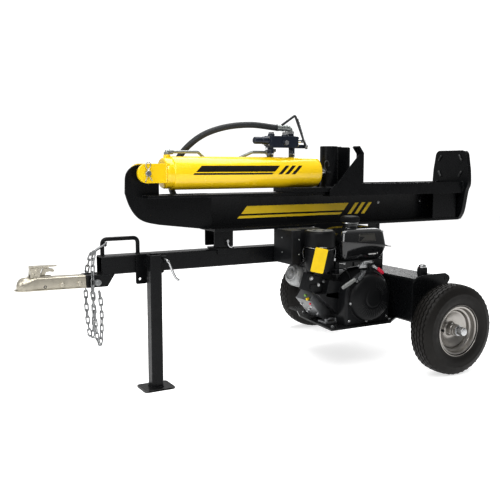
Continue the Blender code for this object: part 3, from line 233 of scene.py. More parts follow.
keep(
    "black_paint", (0.0052, 0.0056, 0.0064), 0.28, grain=420.0, grain_depth=0.00004,
    edge=(0.045, 0.047, 0.05), edge_share=0.5, dust=0.03, round_edges=0.0015, shine=0.24)
keep(
    "worn_black", (0.014, 0.015, 0.016), 0.36, grain=300.0, mottle=0.3, edge=(0.22, 0.22, 0.215),
    edge_share=0.8, dust=0.1, round_edges=0.0012)
keep(
    "yellow_paint", (0.86, 0.6, 0.008), 0.24, mottle=0.03, grain=160.0, grain_depth=0.00005, coat=0.6,
    edge=(0.95, 0.72, 0.15), round_edges=0.0012)
keep("yellow_film", (0.86, 0.62, 0.012), 0.34, mottle=0.03)
keep("black_film", (0.012, 0.01, 0.008), 0.3, mottle=0.08)
keep(
    "zinc_coupler", (0.5, 0.47, 0.4), 0.38, 0.85, mottle=0.12, mottle_scale=30.0, uneven=0.08,
    grain=220.0, grain_depth=0.00004, edge=(0.66, 0.63, 0.56), round_edges=0.001)
keep("bright_zinc", (0.5, 0.505, 0.51), 0.28, (1.0, 1.0, 14.0), make=brushed_finish)
keep("pipe_zinc", (0.33, 0.35, 0.34), 0.36, 0.7, mottle=0.1, grain=300.0, round_edges=0.0008)
keep(
    "chain_zinc", (0.26, 0.265, 0.27), 0.4, 0.75, mottle=0.15, mottle_scale=60.0, grain=500.0,
    edge=(0.5, 0.5, 0.49), round_edges=0.0006)
keep(
    "rim_silver", (0.4, 0.385, 0.365), 0.34, 0.9, mottle=0.05, mottle_scale=10.0, uneven=0.04,
    grain=900.0, grain_depth=0.00001)
keep(
    "cast_alloy", (0.37, 0.375, 0.375), 0.46, 0.65, mottle=0.15, grain=800.0, grain_depth=0.00016,
    dust=0.05, edge=(0.48, 0.48, 0.47), speckle=(0.18, 0.18, 0.18), round_edges=0.0015)
keep(
    "dark_steel", (0.06, 0.062, 0.066), 0.38, 0.85, mottle=0.2, grain=500.0, edge=(0.3, 0.3, 0.3),
    round_edges=0.001)
keep(
    "gloss_black", (0.01, 0.0105, 0.0115), 0.11, mottle=0.1, uneven=0.03, grain=60.0, grain_depth=0.00006,
    coat=0.8, round_edges=0.001)
keep(
    "engine_black", (0.009, 0.0096, 0.0108), 0.34, grain=600.0, grain_depth=0.00006,
    edge=(0.05, 0.05, 0.05), dust=0.03, round_edges=0.001, shine=0.28)
keep(
    "black_plastic", (0.0062, 0.0066, 0.0074), 0.4, grain=900.0, grain_depth=0.00008, dust=0.02,
    round_edges=0.001, shine=0.24)
keep("grey_plastic", (0.2, 0.205, 0.2), 0.42, grain=500.0, round_edges=0.001)
keep(
    "tyre_rubber", (0.012, 0.0108, 0.0096), 0.52, mottle=0.2, mottle_scale=14.0, grain=500.0,
    grain_depth=0.00008, speckle=(0.02, 0.018, 0.015), shine=0.3)
keep("hose_rubber", make=hose_finish)
keep(
    "valve_blue", (0.012, 0.018, 0.032), 0.32, 0.15, mottle=0.2, grain=420.0, grain_depth=0.00014,
    edge=(0.09, 0.11, 0.15), coat=0.2, round_edges=0.001)
keep("chrome", (0.8, 0.81, 0.82), 0.07, 1.0, mottle=0.02, uneven=0.02, grain=90.0, grain_depth=0.00001)
keep("red_rubber", (0.6, 0.02, 0.06), 0.4, grain=500.0)
keep("brass", (0.72, 0.5, 0.2), 0.3, 1.0)
keep("grey_metal", (0.2, 0.205, 0.21), 0.36, 0.7, grain=500.0, round_edges=0.0008)
keep("label_grey", (0.055, 0.053, 0.048), 0.35, mottle=0.05)
keep("label_pale", (0.55, 0.55, 0.54), 0.35, mottle=0.04)
keep(
    "tag_yellow", (0.76, 0.545, 0.005), 0.52, mottle=0.05, mottle_scale=40.0, grain=350.0,
    grain_depth=0.00008)
keep("signal_green", (0.22, 0.42, 0.1), 0.4)
keep("cord", (0.13, 0.13, 0.125), 0.85, grain=1400.0, grain_depth=0.0004)


# ---- outlines and paths ----
def rounded(corners, radius, steps=6, cyclic=True):
    """Rounds the corners of an outline, or the bends of an open path, with arcs of that radius."""
    points = []
    count = len(corners)
    for index, corner in enumerate(corners):
        here = Vector(corner)
        if not cyclic and index in (0, count - 1):
            points.append(here)
            continue
        back = Vector(corners[index - 1]) - here
        ahead = Vector(corners[(index + 1) % count]) - here
        half = back.angle(ahead) / 2
        reach = min(radius / math.tan(half), back.length * 0.49, ahead.length * 0.49)
        start, end = here + back.normalized() * reach, here + ahead.normalized() * reach
        for step in range(steps + 1):
            t = step / steps
            points.append(start.lerp(here, t).lerp(here.lerp(end, t), t))
    return points


def arc(centre, radius, first, last, steps):
    """Points on an arc in a plane, between two angles in degrees."""
    angles = [math.radians(first + (last - first) * step / steps) for step in range(steps + 1)]
    return [(centre[0] + radius * math.cos(a), centre[1] + radius * math.sin(a)) for a in angles]


def smooth_path(points, steps=8):
    """A Catmull-Rom curve through the points."""
    points = [Vector(p) for p in points]
    path = []
    for index in range(len(points) - 1):
        before = points[max(index - 1, 0)]
        start, end = points[index], points[index + 1]
        after = points[min(index + 2, len(points) - 1)]
        for step in range(steps):
            t = step / steps
            bend = 2 * before - 5 * start + 4 * end - after
            twist = 3 * start - before - 3 * end + after
            path.append(0.5 * (2 * start + (end - before) * t + bend * t * t + twist * t ** 3))
    return path + [points[-1]]


def strip(points, thickness):
    """The closed outline of a sheet of that thickness along an open path in a plane."""
    points = [Vector(p) for p in points]
    first, second = [], []
    for index, here in enumerate(points):
        along = points[min(index + 1, len(points) - 1)] - points[max(index - 1, 0)]
        side = Vector((-along.y, along.x)).normalized() * thickness / 2
        first.append(here + side)
        second.append(here - side)
    return first + list(reversed(second))


PLANES = {"X": lambda a, b, c: (c, a, b), "Y": lambda a, b, c: (a, c, b), "Z": lambda a, b, c: (a, b, c)}


class Shape:
    """Closed solids gathered in one mesh, each in the finish that was set before it."""

    def __init__(self):
        self.bm = bmesh.new()
        self.finish = 0

    def use(self, finish):
        self.finish = finish
        return self

    def _paint(self, faces):
        for face in faces:
            face.material_index = self.finish

    def _made(self, made):
        self._paint({face for vertex in made["verts"] for face in vertex.link_faces})
        return self

    def box(self, low, high, turn=None):
        low, high = Vector(low), Vector(high)
        place = Matrix.Translation((low + high) / 2) @ (turn or Matrix.Identity(4))
        return self._made(
            bmesh.ops.create_cube(self.bm, size=1.0, matrix=place @ Matrix.Diagonal((*(high - low),
            1.0))))

    def rod(self, start, end, radius, end_radius=None, sides=28):
        start, end = Vector(start), Vector(end)
        along = end - start
        place = Matrix.Translation((start + end) / 2) @ along.to_track_quat("Z", "Y").to_matrix().to_4x4()
        return self._made(
            bmesh.ops.create_cone(self.bm, cap_ends=True, segments=sides, radius1=radius,
            radius2=radius if end_radius is None else end_radius, depth=along.length, matrix=place))

    def ball(self, centre, radius, stretch=(1, 1, 1)):
        place = Matrix.Translation(centre) @ Matrix.Diagonal((*stretch, 1.0))
        return self._made(
            bmesh.ops.create_uvsphere(self.bm, u_segments=24, v_segments=14, radius=radius, matrix=place))

    def skin(self, rings, loop=False, open_ring=False):
        """Faces between rings of points that follow each other, with caps unless they form a loop."""
        rows = [[self.bm.verts.new(point) for point in ring] for ring in rings]
        pairs = list(zip(rows, rows[1:] + rows[:1])) if loop else list(zip(rows, rows[1:]))
        faces = []
        for first, second in pairs:
            count = len(first)
            for index in range(count - 1 if open_ring else count):
                after = (index + 1) % count
                faces.append(
                    self.bm.faces.new((first[index], first[after], second[after], second[index])))
        if not loop:
            faces.append(self.bm.faces.new(list(reversed(rows[0]))))
            faces.append(self.bm.faces.new(rows[-1]))
        self._paint(faces)
        return rows

    def lathe(self, profile, base, axis, steps=64):
        """Turns (radius, height) points about an axis; a profile that starts on the axis also ends there."""
        along = Vector(axis).normalized()
        across = along.orthogonal().normalized()
        other = along.cross(across)
        rings = []
        for step in range(steps):
            angle = math.tau * step / steps
            out = across * math.cos(angle) + other * math.sin(angle)
            rings.append([Vector(base) + out * r + along * h for r, h in profile])
        on_axis = profile[0][0] == 0
        rows = self.skin(rings, loop=True, open_ring=on_axis)
        if on_axis:
            ends = [row[0] for row in rows] + [row[-1] for row in rows]
            bmesh.ops.remove_doubles(self.bm, verts=ends, dist=1e-7)
        return self

    def sweep(self, path, radius, sides=16, loop=False):
        """A tube along a path; radius is a number, or a function of the share of the path."""
        path = [Vector(p) for p in path]
        count = len(path)
        tangents = []
        for index in range(count):
            before = path[index - 1] if index or loop else path[index]
            after = path[(index + 1) % count] if index < count - 1 or loop else path[index]
            tangents.append((after - before).normalized())
        side = tangents[0].orthogonal().normalized()
        rings = []
        for index, (place, along) in enumerate(zip(path, tangents)):
            side = (side - along * side.dot(along)).normalized()
            other = along.cross(side)
            width = radius(index / (count - 1)) if callable(radius) else radius
            rings.append(
                [place + (side * math.cos(a) + other * math.sin(a)) * width
                for a in (math.tau * step / sides for step in range(sides))])
        self.skin(rings, loop=loop)
        return self

    def prism(self, outline, low, high, axis):
        """A flat outline pulled along an axis from low to high."""
        put = PLANES[axis]
        self.skin([[put(a, b, level) for a, b in outline] for level in (low, high)])
        return self

    def bolt(self, place, axis, across=0.013, head=None):
        """A washer and a chamfered hex head on a face; across is the head's width."""
        place, axis = Vector(place), Vector(axis).normalized()
        head = head or across * 0.55
        radius = across / math.sqrt(3)
        self.rod(place - axis * 0.001, place + axis * 0.0014, radius * 1.28, sides=20)
        self.rod(place + axis * 0.0012, place + axis * head, radius, sides=6)
        self.rod(
            place + axis * (head - 0.0002), place + axis * (head + across * 0.07), radius * 0.86,
            radius * 0.72, sides=20)
        return self

    def screw(self, place, axis, radius=0.005):
        """A low domed head on a thin flat disc."""
        place, axis = Vector(place), Vector(axis).normalized()
        dome = [
            (0, radius * 0.6), (radius * 0.45, radius * 0.56), (radius * 0.8, radius * 0.36),
            (radius, 0.0), (radius, -0.001), (0, -0.001)]
        return self.lathe(dome, place, axis, 20)

    def weld(self, start, end, radius=0.0035):
        """A rippled bead between two points."""
        start, end = Vector(start), Vector(end)
        length = (end - start).length
        count = max(6, round(length / 0.0016))
        path = [start.lerp(end, step / count) for step in range(count + 1)]

        def width(t):
            taper = min(1.0, 0.35 + 12 * min(t, 1 - t))
            return radius * taper * (1 + 0.16 * math.sin(t * length / 0.0042 * math.tau))
        return self.sweep(path, width, 8)

    def piece(self, name, body, finishes, replaces=(), bevel=0.0, segments=2, sharp=35, subdivide=0):
        """Makes the object, and rides it on its body in place of the CAD nodes it stands for."""
        bmesh.ops.recalc_face_normals(self.bm, faces=self.bm.faces)
        mesh = bpy.data.meshes.new(name)
        self.bm.to_mesh(mesh)
        self.bm.free()
        return place_mesh(mesh, name, body, finishes, replaces, bevel, segments, sharp, subdivide)


def place_mesh(mesh, name, body, finishes, replaces=(), bevel=0.0, segments=2, sharp=35, subdivide=0):
    mesh.transform(Matrix.Translation(AXLE))
    finishes = [finishes] if isinstance(finishes, str) else finishes
    for finish in finishes:
        mesh.materials.append(FINISHES[finish])
    mesh.shade_smooth()
    mesh.set_sharp_from_angle(angle=math.radians(sharp))
    thing = bpy.data.objects.new(name, mesh)
    bpy.context.scene.collection.objects.link(thing)
    if bevel:
        modifier = thing.modifiers.new("Bevel", "BEVEL")
        modifier.width = bevel
        modifier.segments = segments
        modifier.limit_method = "ANGLE"
        modifier.angle_limit = math.radians(38)
        modifier.harden_normals = True
    if subdivide:
        thing.modifiers.new("Subdivision", "SUBSURF").render_levels = subdivide
        thing.modifiers["Subdivision"].levels = subdivide
    if body:
        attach(thing, body)
    if replaces:
        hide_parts(*replaces)
    return thing


def perforated(name, outline, holes, low, high, body, finish, replaces=()):
    """A flat sheet facing up with round holes; holes are (x, y, radius)."""
    curve = bpy.data.curves.new(name, "CURVE")
    curve.dimensions = "2D"
    curve.fill_mode = "BOTH"
    curve.extrude = (high - low) / 2
    loops = [outline] + [arc((x, y), r, 0, 330, 11) for x, y, r in holes]
    for points in loops:
        spline = curve.splines.new("POLY")
        spline.points.add(len(points) - 1)
        for point, place in zip(spline.points, points):
            point.co = (place[0], place[1], 0.0, 1.0)
        spline.use_cyclic_u = True
    carrier = bpy.data.objects.new(name + "_curve", curve)
    bpy.context.scene.collection.objects.link(carrier)
    bpy.context.view_layer.update()
    evaluated = carrier.evaluated_get(bpy.context.evaluated_depsgraph_get())
    mesh = bpy.data.meshes.new_from_object(evaluated)
    bpy.data.objects.remove(carrier, do_unlink=True)
    bm = bmesh.new()
    bm.from_mesh(mesh)
    bmesh.ops.remove_doubles(bm, verts=bm.verts, dist=1e-6)
    bmesh.ops.recalc_face_normals(bm, faces=bm.faces)
    bm.to_mesh(mesh)
    bm.free()
    mesh.transform(Matrix.Translation((0, 0, (low + high) / 2)))
    return place_mesh(mesh, name, body, finish, replaces)


def refinish(finish, *nodes):
    """Gives carried-over CAD nodes a fine finish in their own material slots."""
    for node in nodes:
        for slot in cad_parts[node].material_slots:
            slot.material = FINISHES[finish]


def on_crank(degrees, radius, y):
    """A point on an upright circle round the crankshaft."""
    angle = math.radians(degrees)
    return Vector((CRANK_X + radius * math.cos(angle), y, CRANK_Z + radius * math.sin(angle)))


def knurl(shape, centre, reach, low, high, count, radius, end_radius=None, sides=8):
    """Upright ribs round a screw cap."""
    for number in range(count):
        angle = math.tau * number / count
        foot = Vector(centre) + Vector((math.cos(angle), math.sin(angle), 0)) * reach
        shape.rod(foot + Vector((0, 0, low)), foot + Vector((0, 0, high)), radius, end_radius, sides)


# ---- wheels ----
def tyre_ring(turn_share, side):
    """The tyre's section at one angle: its tread grooves run in a zigzag."""
    zigzag = abs((turn_share * 44) % 1 - 0.5) * 4 - 1
    crown = [
        (0.1035, 0.0435), (0.1085, 0.046), (0.1165, 0.0478), (0.12, 0.0505), (0.1215, 0.05),
        (0.126, 0.052), (0.14, 0.057), (0.152, 0.059), (0.164, 0.0586), (0.166, 0.0592), (0.168, 0.0582),
        (0.179, 0.055), (0.188, 0.0505), (0.193, 0.048), (0.196, 0.0452)]
    ring = list(crown)
    for number, groove in enumerate((0.035, 0.0175, 0.0, -0.0175, -0.035)):
        top = TYRE_RADIUS - 0.0052 * (abs(groove) / 0.045) ** 2
        shift = 0.003 * zigzag * (1 if number % 2 else -1)
        for offset, depth in (
                (0.0034, 0.0), (0.0028, 0.0012), (0.0022, 0.0065), (-0.0022, 0.0065), (-0.0028, 0.0012),
                (-0.0034, 0.0)):
            ring.append((top - depth, groove + offset + shift))
    ring += [(r, -w) for r, w in reversed(crown)]
    ring += [
        (0.105, -0.035), (0.135, -0.048), (0.185, -0.037), (0.185, 0.037), (0.135, 0.048), (0.105, 0.035)]
    return [(r, side * w) for r, w in ring]


def build_wheel(label, side):
    centre = Vector((0, side * WHEEL_Y, TYRE_RADIUS))
    body = "wheel_" + label
    steps = 176
    tyre = Shape()
    rings = []
    for step in range(steps):
        angle = math.tau * step / steps
        out = Vector((math.cos(angle), 0, math.sin(angle)))
        rings.append([centre + out * r + Vector((0, w, 0)) for r, w in tyre_ring(step / steps, side)])
    tyre.skin(rings, loop=True)
    tyre.piece(f"tyre_{label}_tread", body, "tyre_rubber", [f"tyre_{label}"], sharp=50)

    outward = (0, side, 0)
    rim = Shape()
    well = [
        (0.1135, 0.0506), (0.1162, 0.0492), (0.1166, 0.0472), (0.115, 0.0458), (0.1085, 0.0448),
        (0.103, 0.043), (0.1018, 0.039), (0.1008, 0.03), (0.0975, 0.024), (0.0905, 0.0205),
        (0.0885, 0.015), (0.088, 0.0)]
    well += [(r, -w) for r, w in reversed(well[:-1])]
    rim.lathe(strip(well, 0.0024), centre, outward, 96)
    dish = [
        (0.0872, -0.006), (0.0868, 0.003), (0.085, 0.0085), (0.0815, 0.0112), (0.078, 0.0098),
        (0.074, 0.0062), (0.064, -0.0005), (0.052, -0.006), (0.042, -0.0085), (0.0335, -0.008),
        (0.0285, -0.004), (0.0262, 0.002)]
    rim.lathe(strip(dish, 0.0028), centre, outward, 96)
    hub = [
        (0.0135, -0.045), (0.022, -0.045), (0.024, -0.043), (0.024, 0.01), (0.0262, 0.0125),
        (0.0262, 0.02), (0.0245, 0.022), (0.0245, 0.03), (0.0258, 0.031), (0.0258, 0.0352),
        (0.024, 0.0365), (0.024, 0.044), (0.0225, 0.047), (0.0135, 0.047)]
    rim.lathe(hub, centre, outward, 48)
    rim.piece(f"rim_{label}_disc", body, "rim_silver", [f"rim_{label}"], sharp=30)

    valve = Shape()
    start = centre + Vector((-0.094, side * 0.0195, 0.01))
    lean = Vector((0.1, side * 1.0, 0)).normalized()
    valve.lathe(
        [(0, 0.0), (0.0078, 0.0), (0.0072, 0.006), (0.0052, 0.009), (0.005, 0.02), (0.0058, 0.0205),
        (0.0058, 0.029), (0.0044, 0.0302), (0, 0.0302)], start, lean, 20)
    valve.piece(f"tyre_valve_{label}", body, "black_plastic")

    cap = Shape()
    cap.rod(
        centre + Vector((0, side * 0.0472, 0)), centre + Vector((0, side * 0.05, 0)), 0.0235, sides=40)
    cap.rod(centre + Vector((0, side * 0.05, 0)), centre + Vector((0, side * 0.06, 0)), 0.0205, sides=6)
    cap.lathe(
        [(0, 0.0825), (0.014, 0.0825), (0.0168, 0.0816), (0.018, 0.0795), (0.0184, 0.064),
        (0.0196, 0.062), (0.0196, 0.059), (0, 0.059)], centre, outward, 48)
    cap.piece(f"hub_cap_{label}", "chassis", "bright_zinc", [f"hub_nut_{label}"], bevel=0.0006)


# ---- towing end ----
def chain_links(shape, path, pitch, wire):
    """Wire-oval links along a path, each turned a quarter from the last."""
    lengths = [0.0]
    for first, second in zip(path, path[1:]):
        lengths.append(lengths[-1] + (second - first).length)

    def at(distance):
        for index in range(1, len(path)):
            if lengths[index] >= distance or index == len(path) - 1:
                span = lengths[index] - lengths[index - 1]
                return path[index - 1].lerp(path[index], (distance - lengths[index - 1]) / span)

    half_straight, half_width = pitch / 2 + wire - 0.0062, 0.0068
    outline = arc((half_straight, 0), half_width, -90, 90, 6) + arc(
        (-half_straight, 0), half_width, 90, 270, 6)
    side = Vector(FARWARD)
    for number in range(int(lengths[-1] / pitch)):
        start, end = at(number * pitch), at((number + 1) * pitch)
        along = (end - start).normalized()
        side = (side - along * side.dot(along)).normalized()
        across = side if number % 2 else along.cross(side)
        across = Matrix.Rotation(random.uniform(-0.35, 0.35), 3, along) @ across
        middle = (start + end) / 2
        shape.sweep([middle + along * a + across * b for a, b in outline], wire, 8, loop=True)


def build_chains():
    for label, side in (("near", NEAR), ("far", FAR)):
        y = 0.052 * side
        drop = 0.0 if side == NEAR else -0.01
        top = Vector((-1.476, 0.017 * side, 0.582 + drop))
        path = [
            top, (-1.485, 0.028 * side, 0.545), (-1.491, y * 0.8, 0.5), (-1.494, y, 0.45),
            (-1.494, y * 1.08, 0.38), (-1.49, y * 1.1, 0.3), (-1.483, y * 1.1, 0.232),
            (-1.474, y * 1.1, 0.2), (-1.466, y * 1.1, 0.232), (-1.462, y * 1.1, 0.3),
            (-1.464, y * 1.08, 0.38), (-1.472, y * 1.03, 0.448)]
        chain = Shape()
        chain_links(chain, smooth_path(path, 10), 0.028, 0.0029)
        hook = [
            top + Vector((-0.004, 0, -0.006)), (-1.462, 0.015 * side, 0.594 + drop),
            (-1.438, 0.0142 * side, 0.607 + drop), (-1.424, 0.012 * side, 0.6155 + drop),
            (-1.418, 0.004 * side, 0.618 + drop), (-1.42, -0.006 * side, 0.617 + drop),
            (-1.427, -0.0125 * side, 0.613 + drop)]
        chain.sweep(smooth_path(hook, 6), lambda t: 0.0046 - 0.003 * t ** 3, 10)
        chain.rod(top + Vector((0, -0.005, 0)), top + Vector((0, 0.005, 0)), 0.0085, sides=20)
        anchor = Vector((-1.472, side * 0.0376, 0.46))
        chain.bolt(anchor, (0, side, 0), 0.018, 0.019)
        chain.rod(anchor + Vector((0, side * 0.015, 0)), anchor + Vector((0, side * 0.0176, 0)), 0.0135)
        chain.piece(f"chain_{label}_links", "chassis", "chain_zinc", [f"safety_chain_{label}"], sharp=40)


def build_coupler():
    """A pressed channel that swells into the ball cup, with its lip turned out along the bottom."""
    low, high = box("coupler_body")
    roof, cup_x = 0.4905, low.x + 0.042
    cup_radius, half_body, wall = 0.032, 0.0275, 0.003

    def section(x, half, top, radius):
        """A ring round the channel's wall, from its near lip over the top to its far lip and back inside."""
        bottom = 0.4455 - 0.0055 * min(1.0, max(0.0, (x - cup_x) / 0.24))
        outer = [(-half, bottom), (-half, bottom + 0.0052)]
        outer += [
            (-half + radius + radius * math.cos(a), top - radius + radius * math.sin(a))
            for a in (math.pi - step * math.pi / 10 for step in range(6))]
        outer += [(-y, z) for y, z in reversed(outer)]
        inset = wall / max(half, 0.006)
        inner = [(y * (1 - inset), max(z - wall, bottom)) for y, z in reversed(outer)]
        return [Vector((x, y, z)) for y, z in outer + inner]

    rings = []
    for step in range(9):
        angle = math.radians(8 + 82 * step / 8)
        rings.append(
            section(cup_x - cup_radius * math.cos(angle), cup_radius * math.sin(angle),
            0.452 + 0.044 * math.sin(angle) ** 0.8, 0.029 * math.sin(angle)))
    for share in (0.25, 0.5, 0.75, 1.0):
        ease = share * share * (3 - 2 * share)
        rings.append(
            section(cup_x + 0.045 * share, cup_radius + (half_body - cup_radius) * ease,
            0.496 + (0.4945 - 0.496) * ease, 0.029 + (0.008 - 0.029) * ease))
    rings.append(section(high.x, half_body, roof, 0.008))
    coupler = Shape()
    coupler.skin(rings)
    edges = [(high.x, NEAR * (half_body - 0.002), NEAR * (half_body + 0.004), high.x)]
    for step in range(17):
        angle = math.radians(-90 + 180 * step / 16)
        edges.append(
            (cup_x - 0.0305 * math.cos(angle), 0.0305 * math.sin(angle), 0.039 * math.sin(angle),
            cup_x - 0.04 * math.cos(angle)))
    edges.append((high.x, FAR * (half_body - 0.002), FAR * (half_body + 0.004), high.x))
    lip = []
    for inner_x, inner_y, outer_y, outer_x in edges:
        z = 0.445 - 0.0055 * min(1.0, max(0.0, (outer_x - cup_x) / 0.24))
        lip.append(
            [Vector((inner_x, inner_y, z)), Vector((outer_x, outer_y, z)),
            Vector((outer_x, outer_y, z + 0.003)), Vector((inner_x, inner_y, z + 0.003))])
    coupler.skin(lip)
    for side in SIDES:
        cheek = rounded([(-1.736, 0.49), (-1.698, 0.49), (-1.692, 0.531), (-1.733, 0.533)], 0.005)
        coupler.prism(cheek, side * 0.0152, side * 0.0186, "Y")
        coupler.box(
            (-1.74, min(side * 0.01, side * 0.0225), 0.495),
            (-1.648, max(side * 0.01, side * 0.0225), 0.4975))
        for x, z in ((-1.723, 0.508), (-1.712, 0.521)):
            coupler.screw((x, side * 0.0186, z), (0, side, 0), 0.0052)
    coupler.piece("coupler_shell", "chassis", "zinc_coupler", ["coupler_body"], bevel=0.0007, sharp=32)

    hole = Shape()
    for side in SIDES:
        hole.lathe(
            [(0.0036, 0.0004), (0.0062, 0.0004), (0.0066, -0.0006), (0.0036, -0.0006)],
            (-1.68, side * half_body, 0.456), (0, side, 0), 24)
    hole.piece("coupler_hole_rims", "chassis", "dark_steel")

    latch = Shape()
    lever = rounded(
        [(-1.733, 0.503), (-1.7, 0.503), (-1.686, 0.533), (-1.627, 0.535), (-1.627, 0.5378),
        (-1.686, 0.5395), (-1.735, 0.54)], 0.003, 3)
    latch.prism(lever, -0.014, 0.014, "Y")
    trigger = rounded(
        [(-1.694, 0.498), (-1.676, 0.4985), (-1.67, 0.512), (-1.656, 0.515), (-1.642, 0.511),
        (-1.636, 0.517), (-1.642, 0.525), (-1.656, 0.527), (-1.662, 0.534), (-1.68, 0.534),
        (-1.686, 0.516)], 0.003, 3)
    latch.prism(trigger, -0.0045, 0.0045, "Y")
    latch.rod((-1.707, -0.021, 0.519), (-1.707, 0.021, 0.519), 0.0042)
    latch.sweep([(-1.668, -0.01, 0.524), (-1.668, 0.01, 0.524)], 0.0035, 12)
    latch.piece("coupler_latch_lever", "coupler_latch", "zinc_coupler", ["coupler_latch"], bevel=0.0008)
    refinish("dark_steel", "ball_clamp")

    bolts = Shape()
    for x in (-1.613, -1.542):
        bolts.bolt((x, -0.0276, 0.46), NEARWARD, 0.0175, 0.0072)
        bolts.bolt((x, 0.0276, 0.46), FARWARD, 0.0175, 0.0072)
        bolts.rod((x, -0.027, 0.46), (x, 0.027, 0.46), 0.0058)
    bolts.piece(
        "coupler_bolts", "chassis", "zinc_coupler", ["coupler_bolt_front", "coupler_bolt_rear"],
        bevel=0.0005)


def build_tongue():
    refinish("black_paint", "tongue_tube", "coupler_drop", "jack_bracket", "jack_leg", "latch_saddle")
    handle = Shape()
    front, back, foot_z, top_z = -1.435, -1.28, 0.5643, 0.6325
    path = [(front, 0, foot_z), (front, 0, top_z), (back, 0, top_z), (back, 0, foot_z)]
    handle.sweep(rounded(path, 0.022, 8, cyclic=False), 0.0085, 20)
    handle.piece("tow_handle_bar", "chassis", "black_paint", ["tow_handle"])

    welds = Shape()
    tongue_low, tongue_high = box("tongue_tube")
    for x in (front, back):
        welds.lathe(
            [(0.0084, 0.0032), (0.01, 0.0026), (0.0118, 0.0006), (0.0118, -0.0004), (0.0084, -0.0004)],
            (x, 0, tongue_high.z), UP, 24)
    for side in SIDES:
        welds.weld((-1.52, side * 0.0368, tongue_low.z), (-1.402, side * 0.0368, tongue_low.z), 0.0032)
        welds.weld(
            (-0.92, side * 0.043, tongue_high.z + 0.0005), (-0.846, side * 0.043, tongue_high.z + 0.0005),
            0.0026)
    welds.weld(
        (-1.303, tongue_low.y - 0.001, tongue_high.z), (-1.232, tongue_low.y - 0.001, tongue_high.z),
        0.0028)
    welds.piece("tongue_welds", "chassis", "black_paint")

    leg_near_y = box("jack_leg")[0].y
    foot_half_x, foot_half_y, leg_half, leg_x, leg_y = 0.0685, 0.056, 0.02525, -1.25, -0.1125
    foot = Shape()
    for first, second in (((-1, -1), (1, -1)), ((1, -1), (1, 1)), ((1, 1), (-1, 1)), ((-1, 1), (-1, -1))):
        foot.weld(
            (leg_x + first[0] * leg_half, leg_y + first[1] * leg_half, 0.0066),
            (leg_x + second[0] * leg_half, leg_y + second[1] * leg_half, 0.0066), 0.0032)
    foot.lathe(
        [(0, 0.004), (0.0085, 0.003), (0.0105, 0.0), (0.0105, -0.001), (0, -0.001)],
        (leg_x, leg_near_y + 0.0445, 0.53), NEARWARD, 28)
    foot.piece("jack_foot_welds", "jack", "black_paint")
    rim = Shape()
    edge = rounded(
        [(leg_x + sx * foot_half_x, leg_y + sy * foot_half_y)
        for sx, sy in ((-1, -1), (1, -1), (1, 1), (-1, 1))], 0.016, 5)
    inner = [(leg_x + (x - leg_x) * 0.955, leg_y + (y - leg_y) * 0.955) for x, y in edge]
    rings = [
        [Vector((a[0], a[1], 0.0004)), Vector((a[0], a[1], 0.0066)), Vector((b[0], b[1], 0.007)),
        Vector((b[0], b[1], 0.0055))] for a, b in zip(edge, inner)]
    rim.skin(rings, loop=True)
    rim.piece("jack_foot_rim", "jack", "worn_black")

    pin = Shape()
    x, z = -1.2, 0.545
    path = [
        (x, -0.0395, z), (x, -0.126, z), (x + 0.01, -0.13, z - 0.01), (x + 0.018, -0.13, z - 0.032),
        (x + 0.028, -0.13, z - 0.056), (x + 0.04, -0.13, z - 0.08), (x + 0.054, -0.13, z - 0.09)]
    pin.sweep(rounded(path, 0.014, 5, cyclic=False), 0.0055, 14)
    pin.piece("jack_pin_rod", "jack_pin", "bright_zinc", ["jack_pin"], bevel=0.0008)

    latch = Shape()
    pin_x, pin_z = -0.88, 0.603
    latch.rod((pin_x, -0.068, pin_z), (pin_x, 0.06, pin_z), 0.0063)
    latch.sweep(
        smooth_path([(pin_x, -0.0655, pin_z), (pin_x + 0.002, -0.0655, pin_z - 0.016),
        (pin_x + 0.01, -0.0655, pin_z - 0.026), (pin_x + 0.022, -0.0655, pin_z - 0.03)], 5), 0.0034, 12)
    latch.piece("latch_pin_rod", "latch_pin", "bright_zinc", ["latch_pin"], bevel=0.0008)


# ---- beam, footplate and rails ----
def stripe(shape, front, back, low, high, slant, y_low, y_high):
    """A slanted-ended band of film on the beam's web."""
    shape.prism(
        [(front, low), (back, low), (back + slant, high), (front + slant, high)], y_low, y_high, "Y")


